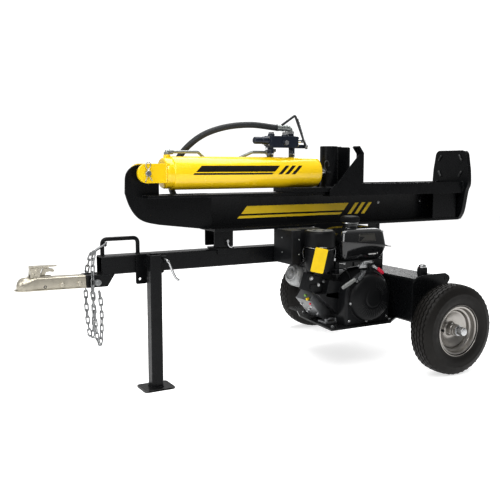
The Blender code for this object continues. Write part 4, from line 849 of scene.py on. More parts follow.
def build_beam():
    half_flange, flange, half_web, fillet = 0.077, 0.0116, 0.0041, 0.0075
    front, top_front, back = -0.95, -1.256, 0.5127
    low, high = BEAM_BOTTOM, BEAM_TOP
    corner_low = [
        (half_web + fillet - fillet * math.sin(a), low + flange + fillet - fillet * math.cos(a))
        for a in (step * math.pi / 8 for step in range(5))]
    corner_high = [(y, low + high - z) for y, z in reversed(corner_low)]
    side = [(half_flange, low), (half_flange, low + flange)] + corner_low + corner_high
    side += [(half_flange, high - flange), (half_flange, high)]
    beam = Shape()
    beam.prism(side + [(-y, z) for y, z in reversed(side)], front, back, "X")
    beam.box((top_front, -half_flange, high - flange), (front + 0.002, half_flange, high))
    nose = [
        (front + 0.02, low + 0.003), (front + 0.02, high - 0.004), (-1.18, high - 0.004), (-1.18, 0.938)]
    nose += arc((-1.268, 0.878), 0.0625, 85, 175, 16)
    nose += smooth_path(
        [(-1.3325, 0.822, 0), (-1.313, 0.766, 0), (-1.282, 0.721, 0), (-1.242, 0.697, 0),
        (-1.182, 0.683, 0)], 5)
    beam.prism([(point[0], point[1]) for point in nose], -0.005, 0.005, "Y")
    beam.lathe(
        [(0.0098, 0.0368), (0.022, 0.0368), (0.022, -0.0368), (0.0098, -0.0368)], (TILT_X, 0, TILT_Z),
        FARWARD, 40)
    beam.box((TILT_X - 0.0105, -0.0351, TILT_Z + 0.019), (TILT_X + 0.0105, 0.0351, low + 0.004))
    ear = rounded([(-0.939, low + 0.004), (-0.939, 0.576), (-0.846, 0.576), (-0.846, low + 0.004)], 0.006)
    for side in SIDES:
        beam.prism(ear, side * 0.045, side * 0.051, "Y")
    beam.piece("beam_section", "beam_assembly", "black_paint", ["beam"], bevel=0.0014)

    details = Shape()
    for side in SIDES:
        web, rim = side * half_web, side * (half_flange - 0.006)
        plate = [
            (0.33, low + flange), (0.492, low + flange), (0.492, high - flange), (0.33, high - flange)]
        details.prism(plate, rim, rim - side * 0.005, "Y")
        for x in (0.336, 0.36, 0.384, 0.408, 0.432, 0.456, 0.474):
            details.weld((x, rim, low + flange), (x + 0.012, rim, low + flange), 0.0034)
        details.weld((-1.175, side * 0.0062, high), (front, side * 0.0062, high), 0.0034)
        details.weld(
            (back - 0.001, side * 0.02, high + 0.001), (back - 0.001, side * 0.07, high + 0.001), 0.004)
        details.weld((-0.936, side * 0.052, low), (-0.85, side * 0.052, low), 0.0028)
        details.weld((TILT_X - 0.0115, side * 0.03, low), (TILT_X - 0.0115, side * -0.03, low), 0.0028)
    details.piece("beam_details", "beam_assembly", "black_paint", bevel=0.0005)

    bolts = Shape()
    for side in SIDES:
        for x in (0.016, 0.299):
            bolts.bolt((x, side * half_web, 0.75), (0, side, 0), 0.0095, 0.006)
    bolts.piece("web_bolts", "beam_assembly", "bright_zinc")

    film = Shape()
    for side in SIDES:
        inner, outer = sorted((side * half_web, side * (half_web + 0.0004)))
        stripe(film, -0.78, -0.2, 0.716, 0.752, 0.03, inner, outer)
        stripe(film, -0.8, -0.22, 0.696, 0.708, 0.012, inner, outer)
        for number in range(3):
            start = -0.176 + 0.042 * number
            stripe(film, start, start + 0.022, 0.696, 0.752, 0.047, inner, outer)
    film.piece("beam_stripes", "beam_assembly", "yellow_film")


def build_footplate():
    right = smooth_path(
        [(0.067, 0.65, 0), (0.094, 0.695, 0), (0.116, 0.8, 0), (0.132, 0.84, 0), (0.128, 0.915, 0)], 4)
    right = [(p.x, p.y) for p in right] + arc((0.082, 0.985), 0.032, 8, 90, 10)
    outline = right + [(-y, z) for y, z in reversed(right)]
    plate = Shape()
    front, back = 0.513, box("footplate")[1].x
    plate.prism(outline, front, back, "X")
    plate.piece("footplate_slab", "beam_assembly", "black_paint", ["footplate"], bevel=0.0022, segments=3)
    cleats = Shape()
    for side in SIDES:
        for z, lean in ((0.892, -1), (0.978, 1)):
            angle = side * lean * math.radians(35)
            along = Vector((0, -math.sin(angle), math.cos(angle)))
            middle = Vector((front - 0.003, side * 0.075, z))
            cleats.sweep(
                [middle + along * (0.0185 * share) for share in (-1, -0.85, 0, 0.85, 1)],
                lambda t: 0.0052 if 0.05 < t < 0.95 else 0.0036, 12)
    cleats.piece("footplate_cleats", "beam_assembly", "worn_black")


def build_rails():
    refinish("black_paint", "log_rail_near", "log_rail_far")
    welds = Shape()
    for side in SIDES:
        welds.weld((-0.3, side * 0.0945, 0.8505), (-0.158, side * 0.0945, 0.8505), 0.0026)
        welds.weld((0.5115, side * 0.086, 0.8505), (0.5115, side * 0.099, 0.8505), 0.0034)
        welds.weld((0.5115, side * 0.1005, 0.8), (0.5115, side * 0.1005, 0.848), 0.0034)
    welds.piece("rail_welds", "beam_assembly", "black_paint")


# ---- cylinder, ram and valve ----
def wrapped_band(shape, front, back, low, high, slant, side):
    """A slanted-ended band of film bent round the cylinder, between two angles above the horizontal."""
    rings = []
    for step in range(9):
        share = step / 8
        angle = math.radians(low + (high - low) * share)
        points = []
        for x, lift in ((front, 0.0), (back, 0.0), (back, 0.0004), (front, 0.0004)):
            radius = CYLINDER_RADIUS + lift
            points.append(
                Vector((x + slant * share, side * radius * math.cos(angle),
                CYLINDER_Z + radius * math.sin(angle))))
        rings.append(points)
    shape.skin(rings)


def build_cylinder():
    radius, bore, rod = CYLINDER_RADIUS, 0.0635, 0.0262
    front, rear = CYLINDER_FRONT, CYLINDER_REAR
    profile = [
        (0, front), (0.056, front), (0.064, front + 0.003), (0.0668, front + 0.009),
        (0.0668, front + 0.034), (0.069, front + 0.0365), (0.0712, front + 0.0375),
        (radius, front + 0.04), (radius, rear - 0.026), (0.0715, rear - 0.014), (0.069, rear - 0.006),
        (0.064, rear - 0.0014), (0.056, rear), (rod + 0.001, rear), (rod, rear - 0.001),
        (rod, rear - 0.03), (bore, rear - 0.03), (bore, front + 0.02), (0, front + 0.02)]
    barrel = Shape()
    barrel.lathe(profile, (0, 0, CYLINDER_Z), BACKWARD, 96)
    eye = [(-1.15, 0.864), (-1.15, 0.946)] + arc((-1.251, CYLINDER_Z), 0.041, 90, 270, 24)
    for side in SIDES:
        barrel.prism(eye, side * 0.038, side * 0.058, "Y")
        barrel.weld((front - 0.001, side * 0.059, 0.866), (front - 0.001, side * 0.059, 0.944), 0.0036)
    barrel.lathe(
        [(0.0072, 0.0), (0.015, 0.0), (0.015, 0.012), (0.013, 0.015), (0.0072, 0.015)],
        (-1.135, 0.012, 0.97), UP, 28)
    barrel.piece(
        "cylinder_shell", "beam_assembly", "yellow_paint", ["cylinder_barrel"], bevel=0.0012, sharp=28)

    film = Shape()
    for side in SIDES:
        wrapped_band(film, -1.035, -0.64, 4.0, 26.0, 0.03, side)
        wrapped_band(film, -1.05, -0.655, -6.0, 0.0, 0.008, side)
        for number in range(3):
            start = -0.622 + 0.036 * number
            wrapped_band(film, start, start + 0.019, -6.0, 26.0, 0.044, side)
    film.piece("cylinder_stripes", "beam_assembly", "black_film")

    ring = Shape()
    ring.lathe(
        [(rod - 0.0004, 0.0), (0.033, 0.0), (0.033, 0.0016), (rod - 0.0004, 0.0016)],
        (rear, 0, CYLINDER_Z), BACKWARD, 48)
    ring.piece("rod_seal", "beam_assembly", "dark_steel")

    pin = Shape()
    x = -1.251
    pin.lathe(
        [(0, -0.072), (0.0112, -0.072), (0.0126, -0.0706), (0.0126, 0.0586), (0.019, 0.0586),
        (0.019, 0.065), (0.018, 0.066), (0, 0.066)], (x, 0, CYLINDER_Z), FARWARD, 36)
    y = -0.0665
    clip = [
        (x - 0.014, y, 0.868), (x - 0.005, y, 0.89), (x + 0.004, y, 0.908), (x - 0.004, y, 0.924),
        (x - 0.011, y, 0.938), (x - 0.004, y, 0.951), (x + 0.008, y, 0.95), (x + 0.01, y, 0.937),
        (x + 0.003, y, 0.923), (x - 0.005, y - 0.003, 0.907), (x + 0.006, y - 0.003, 0.89),
        (x + 0.017, y - 0.001, 0.874)]
    pin.sweep(smooth_path(clip, 6), 0.0019, 10)
    pin.piece("base_pin_rod", "beam_assembly", "bright_zinc", ["base_pin"], sharp=32)


def hex_nut(shape, place, axis, across, length):
    """A chamfered hex nut that sits on a pipe, centred on its place."""
    place, axis = Vector(place), Vector(axis).normalized()
    radius = across / math.sqrt(3)
    shape.rod(place - axis * length / 2, place + axis * length / 2, radius, sides=6)
    shape.rod(place - axis * length * 0.56, place + axis * length * 0.56, radius * 0.84, sides=24)


def build_pipe():
    path = [
        (-1.135, 0.012, 0.985), (-1.135, 0.012, 0.997), (-0.985, 0.018, 0.997), (-0.93, 0.062, 0.97),
        (-0.76, 0.062, 0.97), (-0.705, 0.026, 0.999), (-0.59, 0.026, 0.999), (-0.59, 0.026, 1.015)]
    pipe = Shape()
    pipe.sweep(rounded(path, 0.013, 6, cyclic=False), 0.007, 16)
    hex_nut(pipe, (-1.115, 0.0128, 0.997), BACKWARD, 0.019, 0.015)
    hex_nut(pipe, (-1.135, 0.012, 0.99), UP, 0.023, 0.01)
    pipe.ball((-1.135, 0.012, 0.9975), 0.0088)
    hex_nut(pipe, (-0.625, 0.026, 0.999), BACKWARD, 0.019, 0.016)
    hex_nut(pipe, (-0.59, 0.026, 1.008), UP, 0.02, 0.012)
    pipe.piece("pressure_pipe_steel", "beam_assembly", "pipe_zinc", ["pressure_pipe"], sharp=32)


def build_ram():
    start, end, radius = -1.13, -0.3004, 0.0254
    rod = Shape()
    rod.lathe(
        [(0, start), (0.06, start), (0.0625, start + 0.003), (0.0625, start + 0.048),
        (radius, start + 0.05), (radius, end - 0.004), (radius - 0.003, end), (0, end)],
        (0, 0, CYLINDER_Z), BACKWARD, 64)
    rod.piece("ram_rod", "ram", "chrome", ["piston_rod"], sharp=30)

    wedge_x, tube, top = -0.29, 0.044, 1.03
    wedge = Shape()
    wedge.lathe(
        [(0, top - 0.004), (0.036, top - 0.004), (0.037, top), (tube - 0.002, top), (tube, top - 0.002),
        (tube, 0.828), (0, 0.828)], (wedge_x, 0, 0), UP, 72)
    wedge.box((-0.552, -0.09, BEAM_TOP + 0.0006), (-0.17, 0.09, 0.832))
    blade = rounded(
        [(-0.27, 0.828), (-0.182, 0.828), (-0.176, 0.842), (-0.176, 1.026), (-0.27, 1.026)], 0.006)
    wedge.prism(blade, -0.012, 0.012, "Y")
    for side in SIDES:
        wedge.weld((-0.248, side * 0.014, 0.84), (-0.248, side * 0.014, 1.02), 0.0036)
        wedge.weld((-0.246, side * 0.0135, 0.833), (-0.185, side * 0.0135, 0.833), 0.0036)
    wedge.lathe(
        [(tube - 0.001, 0.0034), (tube + 0.002, 0.0026), (tube + 0.004, 0.0), (tube + 0.004, -0.001),
        (tube - 0.001, -0.001)], (wedge_x, 0, 0.832), UP, 72)
    wedge.piece("wedge_tube", "ram", "black_paint", ["wedge"], bevel=0.0012, sharp=32)
    edge = Shape()
    edge.skin(
        [[Vector((-0.1765, -0.0118, z)), Vector((-0.1765, 0.0118, z)), Vector((-0.164, 0.0012, z)),
        Vector((-0.164, -0.0012, z))] for z in (0.842, 0.89, 0.94, 0.98, 1.024)])
    edge.piece("wedge_edge", "ram", "worn_black")

    pin_x = wedge_x - 0.026
    pin = Shape()
    pin.rod((pin_x, 0.05, CYLINDER_Z), (pin_x, -0.046, CYLINDER_Z), 0.0062)
    clip = [
        (pin_x, -0.0445, CYLINDER_Z), (pin_x - 0.012, -0.045, 0.9075), (pin_x - 0.024, -0.045, 0.92),
        (pin_x - 0.03, -0.044, 0.94), (pin_x - 0.026, -0.043, 0.954), (pin_x - 0.014, -0.042, 0.96),
        (pin_x - 0.004, -0.0425, 0.948), (pin_x - 0.006, -0.043, 0.933)]
    pin.sweep(smooth_path(clip, 6), 0.0028, 12)
    pin.piece("rod_pin_clip", "ram", "dark_steel", ["rod_pin"])


def build_valve():
    spool_z = 1.052
    body = Shape()
    body.box((-0.632, -0.029, 1.02), (-0.5, 0.029, 1.073))
    body.box((-0.64, -0.026, 1.026), (-0.629, 0.026, 1.074))
    body.box((-0.504, -0.026, 1.024), (-0.484, 0.026, 1.072))
    body.rod((-0.618, 0, 1.065), (-0.618, 0, 1.084), 0.017, 0.015)
    body.rod((-0.545, -0.004, 1.065), (-0.545, -0.004, 1.08), 0.018, 0.016)
    body.rod((-0.5, 0.02, 1.06), (-0.5, 0.02, 1.086), 0.017, 0.0155)
    body.rod((-0.585, 0.02, 1.045), (-0.585, 0.04, 1.045), 0.016, 0.0145)
    body.rod((-0.56, -0.02, 1.042), (-0.56, -0.038, 1.042), 0.015, 0.0135)
    for x in (-0.628, -0.512):
        leg = rounded([(x, 1.022), (x + 0.012, 1.022), (x + 0.012, 0.9775), (x, 0.9775)], 0.002, 2)
        body.prism(leg, -0.018, 0.018, "Y")
    detent = [
        (0, -0.712), (0.012, -0.7115), (0.0155, -0.708), (0.0165, -0.702), (0.0165, -0.676),
        (0.015, -0.674), (0.015, -0.67), (0.0175, -0.668), (0.019, -0.65), (0.0215, -0.64), (0, -0.64)]
    body.lathe(detent, (0, 0, spool_z), BACKWARD, 40)
    for y in (-0.0085, 0.0045):
        body.box((-0.49, y, 1.018), (-0.43, y + 0.004, 1.035))
    body.piece("valve_casting", "beam_assembly", "valve_blue", ["valve_body"], bevel=0.003, sharp=32)

    fittings = Shape()
    hex_nut(fittings, (-0.5, 0.02, 1.092), UP, 0.029, 0.011)
    hex_nut(fittings, (-0.585, 0.045, 1.045), FARWARD, 0.025, 0.011)
    hex_nut(fittings, (-0.545, -0.004, 1.086), UP, 0.024, 0.01)
    fittings.rod((-0.545, -0.004, 1.09), (-0.545, -0.004, 1.099), 0.007, 0.006)
    hex_nut(fittings, (-0.618, 0, 1.087), UP, 0.022, 0.008)
    hex_nut(fittings, (-0.56, -0.042, 1.042), NEARWARD, 0.021, 0.009)
    for y, z in ((-0.019, 1.033), (0.019, 1.033), (-0.019, 1.065), (0.019, 1.065)):
        fittings.bolt((-0.64, y, z), FORWARD, 0.008, 0.005)
        fittings.bolt((-0.484, y, z), BACKWARD, 0.008, 0.005)
    for x in (-0.622, -0.506):
        fittings.screw((x, -0.0182, 0.99), NEARWARD, 0.0048)
    fittings.lathe(
        [(0.0092, -0.484), (0.0135, -0.484), (0.0135, -0.479), (0.012, -0.477), (0.0092, -0.477)],
        (0, 0, spool_z), BACKWARD, 32)
    fittings.piece("valve_fittings", "beam_assembly", "bright_zinc", sharp=32)

    spool = Shape()
    spool.rod((-0.69, 0, spool_z), (-0.453, 0, spool_z), 0.0086)
    for y in (-0.008, 0.004):
        spool.box((-0.456, y, spool_z - 0.0072), (-0.434, y + 0.004, spool_z + 0.0072))
    spool.piece("valve_spool_rod", "valve_spool", "chrome", ["valve_spool"], bevel=0.0006)

    lever_x, lever_y, lever_z = -0.437, -0.0165, 1.028
    lever = Shape()
    path = [(-0.432, lever_y, 1.016), (-0.4985, lever_y, 1.17), (-0.57, lever_y, 1.124)]
    lever.sweep(rounded(path, 0.007, 6, cyclic=False), 0.0055, 16)
    lever.use(1)
    lever.rod((lever_x, lever_y - 0.0075, lever_z), (lever_x, 0.01, lever_z), 0.004)
    lever.bolt((lever_x, lever_y - 0.005, lever_z), NEARWARD, 0.0105, 0.0055)
    lever.rod((-0.4475, lever_y, spool_z), (-0.4475, 0.0085, spool_z), 0.003)
    lever.sweep(
        [(-0.4475, lever_y - 0.0045, spool_z), (-0.466, lever_y - 0.005, 1.105),
        (-0.485, lever_y - 0.0045, 1.156)], 0.0026, 10)
    lever.piece(
        "valve_lever_bar", "valve_lever", ["dark_steel", "bright_zinc"], ["valve_lever"], sharp=32)


def part_of(path, first, last):
    """The stretch of a path between two shares of its points."""
    count = len(path) - 1
    return path[round(first * count):round(last * count) + 1]


def bending_hose(node, path, radius, sides):
    """A hose swept along a path from the beam to the chassis, near the tilt pin, in place of its CAD node;
    it rides on no body.
    """
    hose = Shape()
    hose.sweep(path, radius, sides)
    piece = hose.piece(node + "_rubber", None, "hose_rubber", [node])
    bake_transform(piece)


def build_hoses():
    """Both hoses run from the valve on the beam down to the chassis, near the tilt pin; their rubber rides
    on no body.
    """
    path = [
        (-0.5, 0.02, 1.0955), (-0.502, 0.02, 1.108), (-0.52, 0.022, 1.112), (-0.58, 0.03, 1.114),
        (-0.7, 0.04, 1.124), (-0.82, 0.05, 1.113), (-0.92, 0.065, 1.082), (-0.99, 0.085, 1.034),
        (-1.04, 0.105, 0.972), (-1.08, 0.112, 0.89), (-1.06, 0.112, 0.8), (-1.0, 0.098, 0.735),
        (-0.9, 0.066, 0.708), (-0.7, 0.054, 0.702), (-0.4, 0.054, 0.7), (-0.13, 0.066, 0.698),
        (-0.055, 0.105, 0.672), (-0.022, 0.108, 0.57), (-0.02, 0.108, 0.44), (-0.02, 0.108, 0.4184)]
    path = smooth_path(path, 10)
    bending_hose("return_hose", part_of(path, 0.125, 1.0), 0.014, 20)
    crimp = Shape()
    crimp.sweep(part_of(path, 0.0, 0.1), 0.01, 20)
    crimp.sweep(part_of(path, 0.08, 0.155), lambda t: 0.0158 - 0.0012 * (math.sin(t * 25) > 0), 24)
    crimp.piece("return_hose_crimp", "beam_assembly", "pipe_zinc", sharp=32)
    foot = Shape()
    hex_nut(foot, (-0.02, 0.108, 0.426), UP, 0.034, 0.013)
    foot.lathe(
        [(0.01, 0.0), (0.0158, 0.0), (0.0162, 0.006), (0.0158, 0.026), (0.014, 0.027), (0.01, 0.027)],
        (-0.02, 0.108, 0.433), UP, 32)

    pressure = [
        (-0.585, 0.048, 1.045), (-0.585, 0.07, 1.043), (-0.575, 0.105, 1.02), (-0.555, 0.128, 0.98),
        (-0.5, 0.132, 0.88), (-0.42, 0.13, 0.78), (-0.33, 0.118, 0.745), (-0.2, 0.112, 0.738),
        (-0.1, 0.122, 0.72), (-0.06, 0.135, 0.66), (-0.07, 0.145, 0.56), (-0.14, 0.148, 0.485),
        (-0.23, 0.13, 0.462), (-0.272, 0.112, 0.44), (-0.28, 0.11, 0.41), (-0.28, 0.11, 0.3857)]
    pressure = smooth_path(pressure, 10)
    bending_hose("pressure_hose", part_of(pressure, 0.07, 0.96), 0.0095, 18)
    crimp = Shape()
    crimp.sweep(part_of(pressure, 0.0, 0.14), lambda t: 0.0118 if t > 0.35 else 0.008, 20)
    crimp.piece("pressure_hose_crimp", "beam_assembly", "bright_zinc", sharp=32)
    foot.sweep(part_of(pressure, 0.9, 1.0), lambda t: 0.0118 if t < 0.7 else 0.008, 20)
    hex_nut(foot, (-0.28, 0.11, 0.39), UP, 0.024, 0.01)
    foot.piece("hose_feet", "chassis", "bright_zinc", sharp=32)


# ---- axle tank ----
def build_tank():
    refinish(
        "black_paint", "hydraulic_tank", "tilt_bracket", "engine_plate", "spindle_near", "spindle_far")
    refinish("bright_zinc", "tilt_pin")
    low, high = box("hydraulic_tank")
    wing = [
        (-0.135, 0.192), (0.048, 0.192), (0.062, 0.33), (0.072, 0.38), (0.092, 0.408), (0.09, 0.424),
        (0.066, 0.439), (-0.07, 0.439), (-0.108, 0.431), (-0.135, 0.406)]
    for node, side in (("tank_end_near", NEAR), ("tank_end_far", FAR)):
        end_low, end_high = box(node)
        plate = Shape()
        plate.prism(rounded(wing, 0.012, 5), end_low.y, end_high.y, "Y")
        face = end_low.y if side == NEAR else end_high.y
        plate.lathe(
            [(0.007, 0.0), (0.0095, 0.0), (0.01, 0.0016), (0.007, 0.0016)], (0.066, face, 0.416),
            (0, side, 0), 28)
        plate.piece(node + "_plate", "chassis", ["black_paint"], [node], bevel=0.0012)
    details = Shape()
    for side in SIDES:
        end = side * (abs(low.y) + 0.0004)
        for z in (low.z + 0.004, high.z - 0.002):
            details.weld((low.x + 0.01, end, z), (high.x - 0.012, end, z), 0.0026)
        details.weld(
            (-0.092, side * 0.0475, high.z + 0.001), (0.017, side * 0.0475, high.z + 0.001), 0.0034)
        details.weld((-0.09, side * 0.039, 0.489), (-0.036, side * 0.039, 0.489), 0.0028)
    details.piece("tank_welds", "chassis", "black_paint")

    fittings = Shape()
    hex_nut(fittings, (high.x + 0.004, -0.33, low.z + 0.026), BACKWARD, 0.024, 0.009)
    fittings.rod((high.x - 0.001, -0.26, 0.38), (high.x + 0.006, -0.26, 0.38), 0.015)
    hex_nut(fittings, (high.x + 0.006, -0.26, 0.38), BACKWARD, 0.022, 0.006)
    fittings.rod((high.x - 0.001, -0.26, 0.29), (high.x + 0.006, -0.26, 0.29), 0.015)
    fittings.sweep(
        [(high.x + 0.005, -0.26, 0.29), (high.x + 0.011, -0.26, 0.296), (high.x + 0.011, -0.26, 0.374),
        (high.x + 0.005, -0.26, 0.38)], 0.005, 14)
    for side in SIDES:
        fittings.bolt((TILT_X, side * 0.056, TILT_Z), (0, side, 0), 0.022, 0.006)
    fittings.piece("tank_fittings", "chassis", "bright_zinc", bevel=0.0004, sharp=32)

    suction = Shape()
    suction.sweep(
        smooth_path([(CRANK_X + 0.09, 0.105, 0.32), (-0.15, 0.105, 0.32), (-0.112, 0.105, 0.32)], 4),
        0.0185, 20)
    for x in (-0.17, -0.122):
        suction.lathe(
            [(0.0185, -0.005), (0.02, -0.005), (0.02, 0.005), (0.0185, 0.005)], (x, 0.105, 0.32),
            BACKWARD, 28)
    suction.piece("suction_hose_sleeve", "chassis", "hose_rubber")

    cap_low, cap_high = box("breather_cap")
    centre = ((cap_low.x + cap_high.x) / 2, (cap_low.y + cap_high.y) / 2, cap_low.z)
    height = cap_high.z - cap_low.z
    cap = Shape()
    cap.lathe(
        [(0, height - 0.012), (0.012, height - 0.012), (0.0205, height - 0.013), (0.0225, height - 0.016),
        (0.0225, height - 0.02), (0.0225, 0.001), (0.0215, 0.0), (0, 0.0)], centre, UP, 40)
    knurl(cap, centre, 0.0224, 0.003, height - 0.021, 20, 0.0012)
    cap.use(1)
    cap.lathe(
        [(0, height), (0.011, height), (0.015, height - 0.001), (0.0165, height - 0.004),
        (0.0165, height - 0.008), (0.019, height - 0.009), (0.019, height - 0.0125),
        (0, height - 0.0125)], centre, UP, 40)
    cap.piece("breather_cap_knob", "breather_cap", ["black_plastic", "bright_zinc"], ["breather_cap"])


# ---- engine ----
def rounded_slab(x_low, x_high, y_low, y_high, radius, z, steps=6):
    """One level of a box with rounded upright corners, as a ring of points."""
    corners = [(x_low, y_low), (x_high, y_low), (x_high, y_high), (x_low, y_high)]
    return [Vector((p[0], p[1], z)) for p in rounded(corners, radius, steps)]


def build_fuel_tank():
    low, high = box("fuel_tank")
    high.x += 0.006
    seam = 0.582
    roof = 0.645

    def sloped(ring, share):
        """Lets the seam fall towards the back, as the mould line does."""
        return [p - Vector((0, 0, share * 0.118 * (p.x + 0.29))) for p in ring]
    levels = [
        (0.034, low.z), (0.027, low.z + 0.003), (0.0215, low.z + 0.011), (0.015, low.z + 0.026),
        (0.008, seam - 0.026), (0.004, seam - 0.006), (0.0035, seam - 0.0024), (-0.0035, seam - 0.0022),
        (-0.0035, seam + 0.0018), (0.004, seam + 0.002), (0.005, seam + 0.006), (0.013, roof - 0.017),
        (0.017, roof - 0.009), (0.025, roof - 0.002), (0.04, roof + 0.005), (0.06, roof + 0.01)]
    tank = Shape()
    tank.skin(
        [sloped(rounded_slab(low.x + i, high.x - i, low.y + i, high.y - i, 0.028 - i * 0.3, z),
        max(0.0, 1 - abs(z - seam) / (0.06 if z > seam else 0.07))) for i, z in levels])
    tank.lathe(
        [(0, 0.0236), (0.036, 0.0236), (0.0375, 0.022), (0.0375, 0.012), (0.042, 0.008), (0, 0.008)],
        (-0.307, -0.2, roof), UP, 48)
    tank.piece("fuel_tank_shell", "chassis", "gloss_black", ["fuel_tank"], sharp=22)

    trim = Shape()
    slope = math.atan2(0.009, 0.046)
    face_y = low.y + 0.0045
    frame_low, frame_high, left, right = 0.593, 0.626, -0.33, -0.232

    def on_face(x, z, lift):
        return Vector((x, face_y + (z - 0.586) * math.tan(slope) - lift, z))
    frame_path = [
        on_face(x, z, 0.0006) for x, z in ((left, frame_low), (right, frame_low),
        (right - 0.003, frame_high), (left + 0.008, frame_high))]
    trim.sweep(rounded(frame_path, 0.004, 4), 0.0012, 8, loop=True)
    trim.skin(
        [[on_face(left + 0.004, z, -0.001), on_face(right - 0.004, z, -0.001),
        on_face(right - 0.004, z, 0.0006), on_face(left + 0.004, z, 0.0006)]
        for z in (frame_low + 0.003, frame_high - 0.003)])
    trim.piece("tank_panel", "chassis", "label_grey")
    label = Shape()
    label.box((-0.268, low.y + 0.009, 0.529), (-0.226, low.y + 0.013, 0.5345))
    label.ball((-0.218, low.y + 0.01, 0.5345), 0.003)
    label.piece("tank_mark", "chassis", "label_pale")
    rod = Shape()
    rod.sweep([(high.x - 0.01, low.y + 0.01, 0.565), (high.x + 0.02, low.y + 0.006, 0.562)], 0.002, 10)
    rod.bolt((high.x - 0.03, low.y + 0.012, 0.633), (0, -0.6, 1), 0.008)
    rod.piece("tank_stub", "chassis", "bright_zinc")
    base = Shape()
    base.box((-0.42, -0.285, 0.499), (-0.18, -0.112, 0.5056))
    for x in (-0.4, -0.205):
        base.box((x - 0.01, -0.235, 0.44), (x + 0.01, -0.205, 0.5))
        base.box((x - 0.01, -0.195, 0.435), (x + 0.01, -0.165, 0.5))
    base.piece("tank_bracket", "chassis", "engine_black", bevel=0.0015)

    cap_low, cap_high = box("fuel_cap")
    centre = Vector((-0.307, -0.2, cap_low.z))
    height = cap_high.z - cap_low.z
    cap = Shape()
    cap.lathe(
        [(0, height - 0.001), (0.03, height), (0.039, height - 0.0006), (0.0425, height - 0.003),
        (0.0435, height - 0.007), (0.0435, 0.008), (0.0425, 0.0065), (0, 0.0065)], centre, UP, 64)
    knurl(cap, centre, 0.043, 0.009, height - 0.006, 34, 0.0028, 0.0024, 10)
    cap.use(1)
    cap.lathe(
        [(0, 0.0068), (0.04, 0.0068), (0.0405, 0.006), (0.0405, 0.0004), (0, 0.0004)], centre, UP, 64)
    cap.use(2)
    cap.lathe(
        [(0, height + 0.0002), (0.029, height + 0.0002), (0.0285, height - 0.006), (0, height - 0.006)],
        centre - Vector((0, 0, 0.0002)), UP, 48)
    cap.piece(
        "fuel_cap_ribbed", "fuel_cap", ["black_plastic", "bright_zinc", "grey_plastic"], ["fuel_cap"])


def build_air_cleaner():
    x, y, base = -0.502, -0.235, 0.462
    can = Shape()
    can.lathe(
        [(0, 0.178), (0.05, 0.177), (0.064, 0.17), (0.064, 0.108), (0.0665, 0.106), (0.0665, 0.076),
        (0.0672, 0.075), (0.0672, 0.07), (0.0665, 0.069), (0.066, 0.03), (0.064, 0.012), (0.058, 0.002),
        (0, 0.002)], (x, y, base), UP, 72)
    can.lathe(
        [(0, 0.186), (0.061, 0.1856), (0.067, 0.1836), (0.07, 0.179), (0.0712, 0.172), (0.0718, 0.156),
        (0.0712, 0.118), (0.0708, 0.113), (0.069, 0.111), (0, 0.111)], (x, y, base), UP, 72)
    can.lathe(
        [(0.066, 0.103), (0.07, 0.103), (0.0704, 0.101), (0.07, 0.0985), (0.066, 0.0985)], (x, y, base),
        UP, 72)
    can.piece("air_cleaner_can", "chassis", "black_plastic", ["air_cleaner"], sharp=32)

    lid = Shape()
    lid.lathe([(0, 0.1872), (0.059, 0.1868), (0.0605, 0.1852), (0, 0.1852)], (x, y, base), UP, 56)
    lid.piece("air_cleaner_top", "chassis", "grey_plastic")
    vents = Shape()
    for angle in (20, 80, 140, 200, 260, 320):
        a = math.radians(angle)
        spot = Vector((x + 0.04 * math.cos(a), y + 0.04 * math.sin(a), base + 0.1873))
        vents.lathe(
            [(0, 0.0012), (0.006, 0.0012), (0.008, 0.0004), (0.008, -0.0008), (0, -0.0008)], spot, UP, 16)
    vents.piece("air_cleaner_vents", "chassis", "black_plastic")

    bail = Shape()
    ring = [
        (x + 0.0722 * math.cos(a), y + 0.0722 * math.sin(a), base + 0.1085 + 0.005 * math.cos(a * 2))
        for a in (math.radians(150 + 280 * step / 40) for step in range(41))]
    bail.sweep(ring, 0.0013, 8)
    for angle in (150, 240, 340):
        a = math.radians(angle)
        out = Vector((math.cos(a), math.sin(a), 0))
        foot = Vector((x, y, 0)) + out * 0.07
        bail.sweep(
            smooth_path([foot + Vector((0, 0, base + 0.108)),
            foot + out * 0.005 + Vector((0, 0, base + 0.09)),
            foot + out * 0.002 + Vector((0, 0, base + 0.064)),
            foot - out * 0.002 + Vector((0, 0, base + 0.052))], 4), 0.0015, 8)
        bail.box(
            foot + Vector((-0.005, -0.005, base + 0.044)), foot + Vector((0.005, 0.005, base + 0.058)))
    bail.piece("air_cleaner_bail", "chassis", "bright_zinc", bevel=0.0008)

    tie = Shape()
    corner = Vector((x - 0.052, y - 0.061, base + 0.112))
    tie.sweep(
        smooth_path([corner, corner + Vector((0.012, -0.01, 0.006)),
        corner + Vector((0.026, -0.014, 0.004)), corner + Vector((0.04, -0.014, 0.002))], 5), 0.0011, 8)
    tie.box(corner + Vector((0.014, -0.016, 0.001)), corner + Vector((0.02, -0.01, 0.006)))
    tie.piece("tag_tie", "chassis", "label_pale")
    tag = Shape()
    facing = Matrix.Rotation(math.radians(-18), 4, "Z") @ Matrix.Rotation(math.radians(13), 4, "Y")
    outline = rounded([(-0.03, -0.055), (0.03, -0.055), (0.03, 0.055), (-0.03, 0.055)], 0.006)
    middle = Vector((-0.56, -0.32, 0.524))
    rings = []
    for lift in (-0.0005, 0.0005):
        rings.append(
            [middle + (facing @ Vector((a, lift + 0.006 * math.sin((b + 0.055) * 14) * (0.3 + a * 8), b)))
            for a, b in outline])
    tag.skin(rings)
    tag.piece("hang_tag", "chassis", "tag_yellow")


